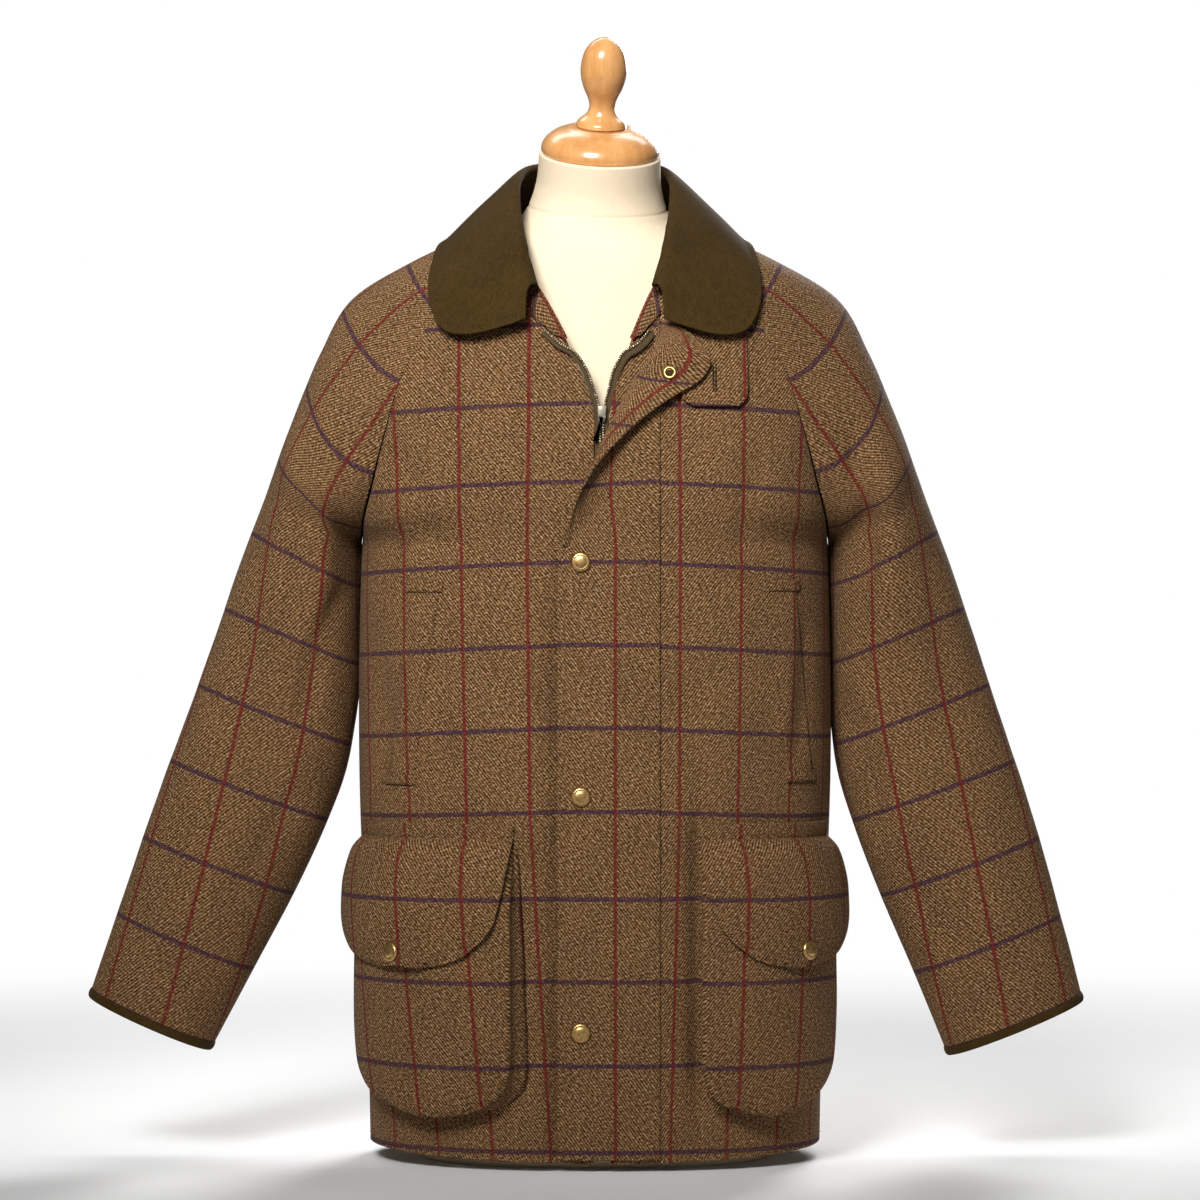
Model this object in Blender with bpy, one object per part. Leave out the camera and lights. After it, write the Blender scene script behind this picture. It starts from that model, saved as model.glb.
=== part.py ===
"""Tweed field coat with raglan sleeves, worn by a limbless dress form.

Units are metres, +Z is up and the front of the coat faces -Y. The origin is the middle of the flat base
that the form stands on. Right and left are the wearer's, so the right side lies at -X.
"""

import math
from collections import namedtuple

import bpy
import bmesh
from mathutils import Matrix, Vector
from mathutils.bvhtree import BVHTree

for stale in list(bpy.data.objects):
    bpy.data.objects.remove(stale, do_unlink=True)

# Driving sizes of the cloth and its seams
TWEED = 0.0022
MOLESKIN = 0.0024
TAPE = 0.0016
GAP = 0.0003
HALF_SEAM = 0.0002
LAID = 0.0007
RIGHT = -1
LEFT = 1
SIDE_NAME = {RIGHT: "right", LEFT: "left"}

# Mesh density of the walls
LOWER_STEPS = 9
UPPER_STEPS = 9
TUBE_STEPS = 10
FRONT_COLS = 9
BACK_COLS = 18
SLEEVE_COLS = 18

# Body sections from the hem to the armpit
Body = namedtuple("Body", "z_front z_side half_width front back")
BODY = [
    Body(0.006, 0.014, 0.1955, -0.128, 0.126),
    Body(0.060, 0.066, 0.1965, -0.130, 0.127),
    Body(0.150, 0.153, 0.1990, -0.132, 0.126),
    Body(0.250, 0.250, 0.2025, -0.132, 0.123),
    Body(0.330, 0.330, 0.2050, -0.130, 0.120),
    Body(0.410, 0.408, 0.2055, -0.129, 0.120),
    Body(0.475, 0.472, 0.2045, -0.129, 0.123),
]
SIDE_Y = 0.006
FRONT_SQUARE = 0.68
SIDE_SQUARE = 0.62
ZIP_X = 0.006
EDGE_FROM_ZIP = 0.0065

# Centre-front edge above the armpit: it follows the zip and then the roll of the open neck.
# out, back and rise are the start of each section's curve.
Edge = namedtuple("Edge", "from_zip y z out back rise")
FRONT_EDGE = [
    Edge(EDGE_FROM_ZIP, -0.1280, 0.530, 0.130, 0.000, 0.000),
    Edge(EDGE_FROM_ZIP, -0.1275, 0.566, 0.125, 0.000, 0.000),
    Edge(EDGE_FROM_ZIP, -0.1265, 0.605, 0.112, 0.000, 0.000),
    Edge(0.0075, -0.1240, 0.646, 0.100, 0.000, 0.000),
    Edge(0.0254, -0.1175, 0.692, 0.080, 0.000, 0.004),
    Edge(0.0450, -0.1080, 0.733, 0.050, 0.004, 0.008),
    Edge(0.0660, -0.0980, 0.766, 0.008, 0.007, 0.007),
]

# Raglan seams from the armpit to the neck. panel_ is how a body section arrives at the seam, and sleeve_ is how
# the sleeve's section leaves it.
Seam = namedtuple("Seam", "out y z panel_out panel_back panel_rise panel_reach "
                          "sleeve_out sleeve_back sleeve_rise sleeve_reach")
FRONT_SEAM = [
    Seam(0.2030, 0.010, 0.530, 0.00, 1.00, 0.00, 0.085, 0.20, -0.98, 0.00, 0.108),
    Seam(0.1990, -0.052, 0.550, 0.35, 0.93, 0.00, 0.070, 0.75, -0.60, 0.20, 0.080),
    Seam(0.1900, -0.080, 0.582, 0.60, 0.80, 0.00, 0.055, 0.95, -0.15, 0.25, 0.060),
    Seam(0.1780, -0.096, 0.627, 0.80, 0.60, 0.00, 0.045, 0.90, 0.20, 0.30, 0.050),
    Seam(0.1620, -0.101, 0.678, 0.90, 0.43, 0.02, 0.040, 0.75, 0.55, 0.40, 0.046),
    Seam(0.1320, -0.100, 0.727, 0.93, 0.30, 0.05, 0.032, 0.50, 0.62, 0.65, 0.046),
    Seam(0.0800, -0.080, 0.785, 0.60, 0.55, 0.57, 0.010, 0.15, 0.92, 0.36, 0.032),
]
BACK_SEAM = [
    Seam(0.2030, 0.010, 0.530, 0.00, -1.00, 0.00, 0.085, 0.20, 0.98, 0.00, 0.108),
    Seam(0.1990, 0.062, 0.556, 0.35, -0.93, 0.00, 0.070, 0.75, 0.60, 0.20, 0.080),
    Seam(0.1900, 0.088, 0.592, 0.60, -0.80, 0.00, 0.055, 0.95, 0.15, 0.25, 0.060),
    Seam(0.1760, 0.102, 0.638, 0.80, -0.60, 0.00, 0.045, 0.90, -0.20, 0.30, 0.050),
    Seam(0.1520, 0.107, 0.692, 0.90, -0.42, 0.05, 0.040, 0.75, -0.55, 0.42, 0.046),
    Seam(0.1120, 0.100, 0.757, 0.90, -0.35, 0.10, 0.032, 0.50, -0.62, 0.62, 0.044),
    Seam(0.0660, 0.058, 0.820, 0.85, -0.52, -0.05, 0.022, 0.25, -0.93, 0.05, 0.028),
]
Spine = namedtuple("Spine", "y z out")
CENTRE_BACK = [
    Spine(0.1270, 0.540, 0.130),
    Spine(0.1285, 0.578, 0.125),
    Spine(0.1290, 0.622, 0.115),
    Spine(0.1275, 0.672, 0.100),
    Spine(0.1210, 0.724, 0.085),
    Spine(0.1060, 0.782, 0.060),
    Spine(0.0840, 0.825, 0.032),
]

# Sleeve tube from the cuff up, and its outer ridge over the shoulder to the neck
Tube = namedtuple("Tube", "in_x in_z out_x out_z half_depth y_mid")
TUBE = [
    Tube(0.3340, 0.0915, 0.4394, 0.1384, 0.047, -0.004),
    Tube(0.2960, 0.1630, 0.4150, 0.2120, 0.049, 0.000),
    Tube(0.2605, 0.2300, 0.3920, 0.2800, 0.051, 0.004),
    Tube(0.2330, 0.2900, 0.3700, 0.3420, 0.054, 0.008),
    Tube(0.2150, 0.3420, 0.3510, 0.3950, 0.056, 0.012),
    Tube(0.2068, 0.4050, 0.3300, 0.4550, 0.063, 0.014),
    Tube(0.2062, 0.4680, 0.3090, 0.5150, 0.074, 0.013),
]
Ridge = namedtuple("Ridge", "out y z reach")
RIDGE = [
    Ridge(0.2865, 0.014, 0.5750, 0.108),
    Ridge(0.2700, 0.011, 0.6200, 0.098),
    Ridge(0.2523, 0.008, 0.6647, 0.084),
    Ridge(0.2375, 0.004, 0.6985, 0.070),
    Ridge(0.2120, 0.000, 0.7420, 0.056),
    Ridge(0.1600, -0.003, 0.7748, 0.050),
    Ridge(0.0880, -0.008, 0.8080, 0.034),
]
ROUND_REACH = 4.0 / 3.0
ARMPIT_CLEAR = 0.0008
LEFT_SWING_IN = 0.024
LEFT_SWING_OUT = 0.017
LEFT_DROP = 0.004
SLEEVE_REST_X = 0.2062
SLEEVE_REST_Z = 0.468
SLEEVE_REST_LEAN = 0.04
SWING_TOP_Z = 0.530
SWING_LENGTH = 0.410
BINDING_ROWS = 0.10

# Collar stations from the front end to the centre back. place is how far round the neck seam the station's stand
# is sewn, stand is 0 where the collar only lies on the facing, fold and edge are the fold line and the free edge.
Collar = namedtuple("Collar", "place stand fold_x fold_y fold_z edge_x edge_y edge_z")
COLLAR = [
    Collar(0.00, 0.0, 0.0516, -0.1210, 0.7480, 0.0580, -0.1290, 0.7195),
    Collar(0.02, 0.0, 0.0555, -0.1130, 0.7605, 0.0745, -0.1290, 0.7130),
    Collar(0.05, 0.4, 0.0595, -0.1020, 0.7745, 0.1060, -0.1260, 0.7055),
    Collar(0.11, 1.0, 0.0625, -0.0870, 0.7910, 0.1295, -0.1170, 0.7110),
    Collar(0.20, 1.0, 0.0650, -0.0670, 0.8070, 0.1405, -0.0990, 0.7370),
    Collar(0.32, 1.0, 0.0670, -0.0420, 0.8260, 0.1385, -0.0650, 0.7680),
    Collar(0.45, 1.0, 0.0665, -0.0120, 0.8450, 0.1265, -0.0050, 0.7930),
    Collar(0.62, 1.0, 0.0580, 0.0280, 0.8600, 0.1020, 0.0620, 0.7980),
    Collar(0.82, 1.0, 0.0330, 0.0620, 0.8660, 0.0560, 0.1100, 0.7930),
    Collar(1.00, 1.0, 0.0000, 0.0720, 0.8675, 0.0000, 0.1220, 0.7900),
]
COLLAR_COLS = 26
COLLAR_ROWS = 8
FOLD_ROUND = 0.009
FALL_SWELL = 0.005
COLLAR_CLEAR = 0.0020

# Beside the open neck, from a place on the front edge: the facing's free edge, and the zip chain's inner edge,
# which lies beside the front edge low down and crosses over to the facing's free edge higher up
Turn = namedtuple("Turn", "place out drop lift")
FACING = [
    Turn(4.25, 0.0008, 0.0015, 0.0022),
    Turn(4.42, 0.0020, 0.0055, 0.0042),
    Turn(4.60, 0.0035, 0.0110, 0.0055),
    Turn(5.00, 0.0025, 0.0205, 0.0065),
    Turn(5.50, 0.0050, 0.0260, 0.0072),
]
CHAIN = [
    Turn(3.05, -0.0058, 0.0000, -0.0003),
    Turn(3.35, -0.0058, 0.0000, -0.0003),
    Turn(3.65, -0.0068, 0.0000, 0.0014),
    Turn(4.00, -0.0038, 0.0010, 0.0046),
    Turn(4.30, 0.0034, 0.0062, 0.0070),
    Turn(4.60, 0.0046, 0.0126, 0.0080),
    Turn(5.00, 0.0034, 0.0222, 0.0088),
]
ZIP_BOTTOM = 0.030
ZIP_CLOSED = 0.638
ZIP_TOP_PLACE = 3.0
CHAIN_WIDTH = 0.0052
LEFT_OPEN = 0.78
SLIDER = Vector((0.0085, 0.0040, 0.0140))
PULL_LENGTH = 0.0210
PULL_WIDTH = 0.0034
PULL_THICK = 0.0012
PULL_LEAN = math.radians(16)
PULL_DROP = 0.0030
PULL_OUT = 0.0014
PULL_EYE = 0.0005

# Storm fly: attached at one x all the way up, with its free edge turned back towards the top.
# turn is the free edge's direction: 0 lies flat, 180 points back over the left front.
Fly = namedtuple("Fly", "z edge_x edge_z lift turn reach edge_reach")
FLY = [
    Fly(0.010, -0.0310, 0.010, 0.0000, 0, 0.028, 0.028),
    Fly(0.250, -0.0310, 0.250, 0.0000, 0, 0.028, 0.028),
    Fly(0.495, -0.0310, 0.495, 0.0000, 0, 0.028, 0.028),
    Fly(0.535, -0.0270, 0.532, 0.0040, 25, 0.030, 0.028),
    Fly(0.575, -0.0150, 0.570, 0.0180, 75, 0.036, 0.020),
    Fly(0.605, 0.0020, 0.598, 0.0220, 125, 0.036, 0.025),
    Fly(0.635, 0.0285, 0.625, 0.0160, 165, 0.038, 0.035),
    Fly(0.660, 0.0590, 0.649, 0.0110, 178, 0.040, 0.046),
    Fly(0.682, 0.0885, 0.667, 0.0085, 180, 0.030, 0.058),
    Fly(0.698, 0.0975, 0.683, 0.0080, 180, 0.014, 0.050),
    Fly(0.710, 0.0880, 0.700, 0.0078, 180, 0.005, 0.030),
    Fly(0.720, 0.0710, 0.716, 0.0075, 180, 0.002, 0.009),
]
FLY_X = 0.055
FLY_ROWS = 22
FLY_COLS = 8

# Patches laid on a front panel: a row per height, from the edge near the zip to the outer edge, with the distance
# that each edge stands off the panel
Patch = namedtuple("Patch", "z near far near_off far_off")
TAB = [
    Patch(0.725, 0.0735, 0.1260, LAID, LAID),
    Patch(0.690, 0.0718, 0.1284, LAID, LAID),
    Patch(0.664, 0.0720, 0.1284, LAID, LAID),
    Patch(0.655, 0.0760, 0.1250, LAID, LAID),
    Patch(0.650, 0.0850, 0.1180, LAID, LAID),
]
WELT = {
    RIGHT: [Patch(0.4965, 0.1310, 0.1563, LAID, LAID), Patch(0.3257, 0.1546, 0.1766, LAID, LAID)],
    LEFT: [Patch(0.4975, 0.1479, 0.1707, LAID, LAID), Patch(0.3280, 0.1639, 0.1859, LAID, LAID)],
}
FLAP = [
    Patch(0.2930, 0.0682, 0.1955, GAP, GAP),
    Patch(0.2840, 0.0684, 0.1960, 0.0070, 0.0070),
    Patch(0.2680, 0.0690, 0.1965, 0.0180, 0.0155),
    Patch(0.2460, 0.0716, 0.1970, 0.0255, 0.0190),
    Patch(0.2266, 0.0752, 0.1970, 0.0280, 0.0205),
    Patch(0.2080, 0.0800, 0.1965, 0.0290, 0.0210),
    Patch(0.1930, 0.0915, 0.1925, 0.0290, 0.0215),
    Patch(0.1804, 0.1078, 0.1835, 0.0290, 0.0225),
    Patch(0.1737, 0.1340, 0.1640, 0.0290, 0.0250),
]
BAG = [
    Patch(0.2720, 0.0700, 0.1900, 0.0090, 0.0060),
    Patch(0.2300, 0.0695, 0.1900, 0.0200, 0.0145),
    Patch(0.1880, 0.0690, 0.1900, 0.0215, 0.0160),
    Patch(0.1290, 0.0690, 0.1900, 0.0215, 0.0165),
    Patch(0.0914, 0.0695, 0.1880, 0.0210, 0.0165),
    Patch(0.0738, 0.0730, 0.1825, 0.0205, 0.0165),
    Patch(0.0630, 0.0810, 0.1740, 0.0200, 0.0170),
    Patch(0.0535, 0.0970, 0.1600, 0.0190, 0.0175),
    Patch(0.0486, 0.1160, 0.1440, 0.0180, 0.0180),
]
LEFT_POCKET_SHIFT = 0.0185
BAG_SWELL = 0.0050
GUSSET_NEAR = 0.0150
GUSSET_FAR = 0.0040
GUSSET_DROP = 0.0060
GUSSET_OFF = 0.0008

# Snaps: diameter and height of a domed cap, and where they sit
SNAP_RADIUS = 0.0085
SNAP_HEIGHT = 0.0036
SNAP_SEGMENTS = 16
FLY_SNAP_X = -0.0118
FLY_SNAP_Z = (0.5140, 0.3163, 0.1178)
FLAP_SNAP = {RIGHT: (6.55, 0.60), LEFT: (6.45, 0.60)}
SNAP_SEAT = 0.0007
SOCKET_PLACE = (0.80, 8.20)
SOCKET_RADIUS = 0.0059
SOCKET_HOLE = 0.0025
SOCKET_HEIGHT = 0.0016

# Dress form: torso and neck sections, then the turned cap and finial about the inclined neck's axis
Form = namedtuple("Form", "z half_width front back tilt")
FORM = [
    Form(0.000, 0.1500, -0.0980, 0.1000, 0.0),
    Form(0.030, 0.1600, -0.1040, 0.1040, 0.0),
    Form(0.200, 0.1700, -0.1080, 0.1040, 0.0),
    Form(0.350, 0.1620, -0.1030, 0.0960, 0.0),
    Form(0.500, 0.1740, -0.1080, 0.1040, 0.0),
    Form(0.600, 0.1800, -0.1060, 0.1080, 0.0),
    Form(0.660, 0.1850, -0.1000, 0.1060, 0.0),
    Form(0.705, 0.1850, -0.0910, 0.1000, 0.0),
    Form(0.735, 0.1790, -0.0840, 0.0940, 0.0),
    Form(0.7645, 0.1650, -0.0780, 0.0880, 0.0),
    Form(0.7835, 0.1340, -0.0720, 0.0800, 0.0),
    Form(0.7990, 0.0930, -0.0650, 0.0680, 0.2),
    Form(0.815, 0.0660, -0.0600, 0.0560, 0.6),
    Form(0.840, 0.0550, -0.0610, 0.0450, 0.9),
    Form(0.868, 0.0525, -0.0705, 0.0345, 1.0),
]
FORM_SEGMENTS = 24
FORM_ROWS = 19
FORM_SQUARE = 2.3
NECK_X = 0.0044
NECK_START_Z = 0.762
NECK_TILT = math.radians(18)
NECK_ROLL = math.radians(2.6)
Turned = namedtuple("Turned", "radius height")
CAP = [
    Turned(0.0500, 0.0000),
    Turned(0.0512, 0.0030),
    Turned(0.0505, 0.0075),
    Turned(0.0470, 0.0130),
    Turned(0.0400, 0.0185),
    Turned(0.0310, 0.0220),
    Turned(0.0240, 0.0235),
]
FINIAL = [
    Turned(0.0200, 0.0238),
    Turned(0.0215, 0.0265),
    Turned(0.0195, 0.0300),
    Turned(0.0140, 0.0345),
    Turned(0.0112, 0.0410),
    Turned(0.0125, 0.0485),
    Turned(0.0168, 0.0580),
    Turned(0.0197, 0.0690),
    Turned(0.0195, 0.0800),
    Turned(0.0165, 0.0905),
    Turned(0.0105, 0.0980),
    Turned(0.0040, 0.1015),
]
TURNED_SEGMENTS = 20

Finish = namedtuple("Finish", "colour roughness metallic")
FINISH = {
    "tweed": Finish((0.150, 0.086, 0.036), 0.92, 0.0),
    "moleskin": Finish((0.052, 0.036, 0.015), 0.95, 0.0),
    "antique_metal": Finish((0.12, 0.10, 0.08), 0.40, 1.0),
    "antique_brass": Finish((0.42, 0.28, 0.09), 0.38, 1.0),
    "form_cloth": Finish((0.86, 0.74, 0.52), 0.85, 0.0),
    "wood": Finish((0.62, 0.28, 0.08), 0.35, 0.0),
}


def bezier(a, b, c, d, t):
    s = 1.0 - t
    return a * (s * s * s) + b * (3 * s * s * t) + c * (3 * s * t * t) + d * (t * t * t)


def smooth(rows, place):
    """Read a table between its rows with a Catmull-Rom curve through every column."""
    last = len(rows) - 1
    i = min(max(int(math.floor(place)), 0), last - 1)
    t = place - i
    mid = list(zip(rows[i], rows[i + 1]))
    before = rows[i - 1] if i > 0 else [2 * a - b for a, b in mid]
    after = rows[i + 2] if i + 2 <= last else [2 * b - a for a, b in mid]
    values = []
    for p, (q, r), s in zip(before, mid, after):
        values.append(0.5 * (2 * q + (r - p) * t + (2 * p - 5 * q + 4 * r - s) * t * t
                             + (3 * q - p - 3 * r + s) * t * t * t))
    return type(rows[0])(*values)


def smooth_apart(rows, split, place, joined):
    """Like smooth, but only the joined columns run on through the split row. The others turn a corner there."""
    through = smooth(rows, place)
    half = smooth(rows[:split + 1], place) if place <= split else smooth(rows[split:], place - split)
    return half._replace(**{name: getattr(through, name) for name in joined})


def lerp(a, b, t):
    return a + (b - a) * t


# Every body section is one curve from the centre to the side or the raglan seam
Section = namedtuple("Section", "cx cy cz out back rise sx sy sz to_out to_back to_rise reach")


def front_sections():
    rows = []
    for b in BODY:
        rows.append(Section(EDGE_FROM_ZIP, b.front, b.z_front, FRONT_SQUARE * b.half_width, 0, 0,
                            b.half_width, SIDE_Y, b.z_side, 0, 1, 0, SIDE_SQUARE * (SIDE_Y - b.front)))
    for e, s in zip(FRONT_EDGE, FRONT_SEAM):
        rows.append(Section(e.from_zip, e.y, e.z, e.out, e.back, e.rise, s.out, s.y, s.z,
                            s.panel_out, s.panel_back, s.panel_rise, s.panel_reach))
    return rows


def back_sections():
    rows = []
    for b in BODY:
        rows.append(Section(0, b.back, b.z_side, FRONT_SQUARE * b.half_width, 0, 0,
                            b.half_width, SIDE_Y, b.z_side, 0, -1, 0, SIDE_SQUARE * (b.back - SIDE_Y)))
    for c, s in zip(CENTRE_BACK, BACK_SEAM):
        rows.append(Section(0, c.y, c.z, c.out, 0, 0, s.out, s.y, s.z,
                            s.panel_out, s.panel_back, s.panel_rise, s.panel_reach))
    return rows


FRONT = front_sections()
BACK = back_sections()
PIT = len(BODY)
TOP = PIT + len(FRONT_SEAM) - 1


def panel_point(rows, centre_x, side, u, v):
    r = smooth_apart(rows, PIT, v, ("cx", "cy", "cz", "out", "back", "rise"))
    opened = (r.cx - EDGE_FROM_ZIP) * (LEFT_OPEN if side == LEFT else 1.0) if r.cx > EDGE_FROM_ZIP else 0.0
    start = Vector((centre_x + side * (min(r.cx, EDGE_FROM_ZIP) + opened), r.cy, r.cz))
    end = Vector((side * r.sx, r.sy, r.sz))
    arrive = Vector((side * r.to_out, r.to_back, r.to_rise)).normalized() * r.reach
    leave = Vector((side * r.out, r.back, r.rise + (r.sz - r.cz) * 0.33 if v < PIT else r.rise))
    return bezier(start, start + leave, end - arrive, end, u)


def front_point(side, u, v):
    return panel_point(FRONT, ZIP_X, side, u, v)


def back_point(u, v):
    """u runs from the right side seam at -1 through the centre back at 0 to the left one at 1."""
    return panel_point(BACK, 0.0, LEFT if u > 0 else RIGHT, abs(u), v)


# A sleeve section runs from the front seam over the ridge to the back seam
Arm = namedtuple("Arm", "fx fy fz f_out f_back f_rise f_reach tx ty tz t_reach bx by bz b_out b_back b_rise b_reach")


def sleeve_sections():
    rows = []
    for t in TUBE:
        reach = ROUND_REACH * t.half_depth
        rows.append(Arm(t.in_x, t.y_mid, t.in_z, 0, -1, 0, reach, t.out_x, t.y_mid, t.out_z, reach,
                        t.in_x, t.y_mid, t.in_z, 0, 1, 0, reach))
    for i, (f, r, b) in enumerate(zip(FRONT_SEAM, RIDGE, BACK_SEAM)):
        clear = ARMPIT_CLEAR if i == 0 else 0
        rows.append(Arm(f.out + clear, f.y, f.z, f.sleeve_out, f.sleeve_back, f.sleeve_rise, f.sleeve_reach,
                        r.out, r.y, r.z, r.reach,
                        b.out + clear, b.y, b.z, b.sleeve_out, b.sleeve_back, b.sleeve_rise, b.sleeve_reach))
    return rows


SLEEVE = sleeve_sections()
RING = len(TUBE)
NECK = RING + len(RIDGE) - 1


def swing(side, point, amount):
    """The left sleeve hangs a little closer and lower than the right one, but rests beside the body."""
    if side == RIGHT or point.z > SWING_TOP_Z:
        return point
    share = ((SWING_TOP_Z - point.z) / SWING_LENGTH) ** 2
    hung = point - Vector((amount * share, 0, LEFT_DROP * share))
    hung.x = max(hung.x, SLEEVE_REST_X - SLEEVE_REST_LEAN * max(0.0, point.z - SLEEVE_REST_Z))
    return hung


def sleeve_point(side, u, v):
    r = smooth_apart(SLEEVE, RING, v, ("tx", "ty", "tz", "t_reach"))
    top = swing(side, Vector((side * r.tx, r.ty, r.tz)), LEFT_SWING_OUT)
    if u <= 0.5:
        end = swing(side, Vector((side * r.fx, r.fy, r.fz)), LEFT_SWING_IN)
        leave = Vector((side * r.f_out, r.f_back, r.f_rise)).normalized() * r.f_reach
        return bezier(end, end + leave, top - Vector((0, r.t_reach, 0)), top, u * 2)
    end = swing(side, Vector((side * r.bx, r.by, r.bz)), LEFT_SWING_IN)
    leave = Vector((side * r.b_out, r.b_back, r.b_rise)).normalized() * r.b_reach
    return bezier(top, top + Vector((0, r.t_reach, 0)), end + leave, end, u * 2 - 1)


def normal_of(surface, u, v, u_range, v_range, flip):
    """Unit normal of surface(u, v) from short steps that stay inside its range."""
    step_u = 0.004 * (u_range[1] - u_range[0])
    step_v = 0.02
    u0, u1 = max(u - step_u, u_range[0]), min(u + step_u, u_range[1])
    v0, v1 = max(v - step_v, v_range[0]), min(v + step_v, v_range[1])
    across = surface(u1, v) - surface(u0, v)
    along = surface(u, v1) - surface(u, v0)
    return across.cross(along).normalized() * flip


def front_normal(side, u, v):
    return normal_of(lambda a, b: front_point(side, a, b), u, v, (0, 1), (0, TOP), side)


def back_normal(u, v):
    return normal_of(back_point, u, v, (-1, 1), (0, TOP), -1)


def sleeve_normal(side, u, v):
    return normal_of(lambda a, b: sleeve_point(side, a, b), u, v, (0, 1), (0, NECK), side)


def share(own, other):
    """Both sides of a flat seam lean the same way, and both sides of a sharp fold keep their own."""
    return (own + other).normalized() if own.dot(other) > 0.3 else own


def spread(start, stop, count):
    return [lerp(start, stop, i / count) for i in range(count + 1)]


LOWER = spread(0, PIT, LOWER_STEPS)
UPPER = spread(PIT, TOP, UPPER_STEPS)[1:]


def material(finish):
    made = bpy.data.materials.get(finish)
    if made:
        return made
    made = bpy.data.materials.new(finish)
    made.use_nodes = True
    shader = made.node_tree.nodes["Principled BSDF"]
    shader.inputs["Base Color"].default_value = (*FINISH[finish].colour, 1.0)
    shader.inputs["Roughness"].default_value = FINISH[finish].roughness
    shader.inputs["Metallic"].default_value = FINISH[finish].metallic
    made.diffuse_color = (*FINISH[finish].colour, 1.0)
    return made


def add_object(name, bm, finish, origin=None):
    bmesh.ops.triangulate(bm, faces=bm.faces[:])
    if bm.calc_volume(signed=True) < 0:
        bmesh.ops.reverse_faces(bm, faces=bm.faces[:])
    if origin is not None:
        bmesh.ops.translate(bm, vec=-origin, verts=bm.verts[:])
    mesh = bpy.data.meshes.new(name)
    bm.to_mesh(mesh)
    bm.free()
    mesh.shade_smooth()
    mesh.materials.append(material(finish))
    made = bpy.data.objects.new(name, mesh)
    if origin is not None:
        made.location = origin
    bpy.context.scene.collection.objects.link(made)
    return made


def wall(name, face, other, finish, closed_rows=0):
    """A sheet between two grids of points. The first closed_rows + 1 rows are rings whose last column is the first."""
    bm = bmesh.new()
    skins = []
    for grid in (face, other):
        skin = []
        for j, row in enumerate(grid):
            ring = bool(closed_rows) and j <= closed_rows
            made = [bm.verts.new(p) for p in (row[:-1] if ring else row)]
            skin.append(made + made[:1] if ring else made)
        skins.append(skin)
    front, back = skins
    last_row, last_col = len(face) - 1, len(face[0]) - 1
    for j in range(last_row):
        for i in range(last_col):
            bm.faces.new((front[j][i], front[j][i + 1], front[j + 1][i + 1], front[j + 1][i]))
            bm.faces.new((back[j][i], back[j + 1][i], back[j + 1][i + 1], back[j][i + 1]))
        if j >= closed_rows:
            bm.faces.new((front[j][0], front[j + 1][0], back[j + 1][0], back[j][0]))
            bm.faces.new((front[j][-1], back[j][-1], back[j + 1][-1], front[j + 1][-1]))
    for i in range(last_col):
        bm.faces.new((front[0][i], back[0][i], back[0][i + 1], front[0][i + 1]))
        end = last_row
        bm.faces.new((front[end][i], front[end][i + 1], back[end][i + 1], back[end][i]))
    return add_object(name, bm, finish)


def pull_in(grid, normals, column, inner, rows):
    """Draw one edge of a grid back from its seam."""
    for j in rows:
        toward = grid[j][inner] - grid[j][column]
        toward -= normals[j][column] * toward.dot(normals[j][column])
        grid[j][column] = grid[j][column] + toward.normalized() * HALF_SEAM


def moved(grid, normals, distance):
    return [[p + n * distance for p, n in zip(row, lean)] for row, lean in zip(grid, normals)]


def make_front(side):
    rows = LOWER + UPPER
    cols = spread(0, 1, FRONT_COLS)
    grid = [[front_point(side, u, v) for u in cols] for v in rows]
    normals = [[front_normal(side, u, v) for u in cols] for v in rows]
    for j, v in enumerate(rows):
        if v <= PIT:
            beyond = back_normal(side, v)
        else:
            beyond = sleeve_normal(side, 0, v - PIT + RING)
        normals[j][-1] = share(normals[j][-1], beyond)
    pull_in(grid, normals, -1, -2, range(len(rows)))
    wall("front_" + SIDE_NAME[side], grid, moved(grid, normals, -TWEED), "tweed")
    return grid, side


def make_back():
    rows = LOWER + UPPER
    cols = spread(-1, 1, BACK_COLS)
    grid = [[back_point(u, v) for u in cols] for v in rows]
    normals = [[back_normal(u, v) for u in cols] for v in rows]
    for column, inner, side in ((0, 1, RIGHT), (-1, -2, LEFT)):
        for j, v in enumerate(rows):
            if v <= PIT:
                beyond = front_normal(side, 1, v)
            else:
                beyond = sleeve_normal(side, 1, v - PIT + RING)
            normals[j][column] = share(normals[j][column], beyond)
        pull_in(grid, normals, column, inner, range(len(rows)))
    wall("back", grid, moved(grid, normals, -TWEED), "tweed")
    return grid, -1


def make_sleeve(side):
    cols = spread(0, 1, SLEEVE_COLS)
    rows = spread(BINDING_ROWS, RING, TUBE_STEPS) + [v - PIT + RING for v in UPPER]
    grid = [[sleeve_point(side, u, v) for u in cols] for v in rows]
    normals = [[sleeve_normal(side, u, v) for u in cols] for v in rows]
    for j, v in enumerate(rows):
        if v > RING:
            normals[j][0] = share(normals[j][0], front_normal(side, 1, v - RING + PIT))
            normals[j][-1] = share(normals[j][-1], back_normal(side, v - RING + PIT))
    above = range(TUBE_STEPS + 1, len(rows))
    pull_in(grid, normals, 0, 1, above)
    pull_in(grid, normals, -1, -2, above)
    for j in range(TUBE_STEPS + 1):
        middle = (normals[j][0] + normals[j][-1]).normalized()
        normals[j][0] = middle
    wall("sleeve_" + SIDE_NAME[side], grid, moved(grid, normals, -TWEED), "tweed", closed_rows=TUBE_STEPS)
    return grid, side


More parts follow.
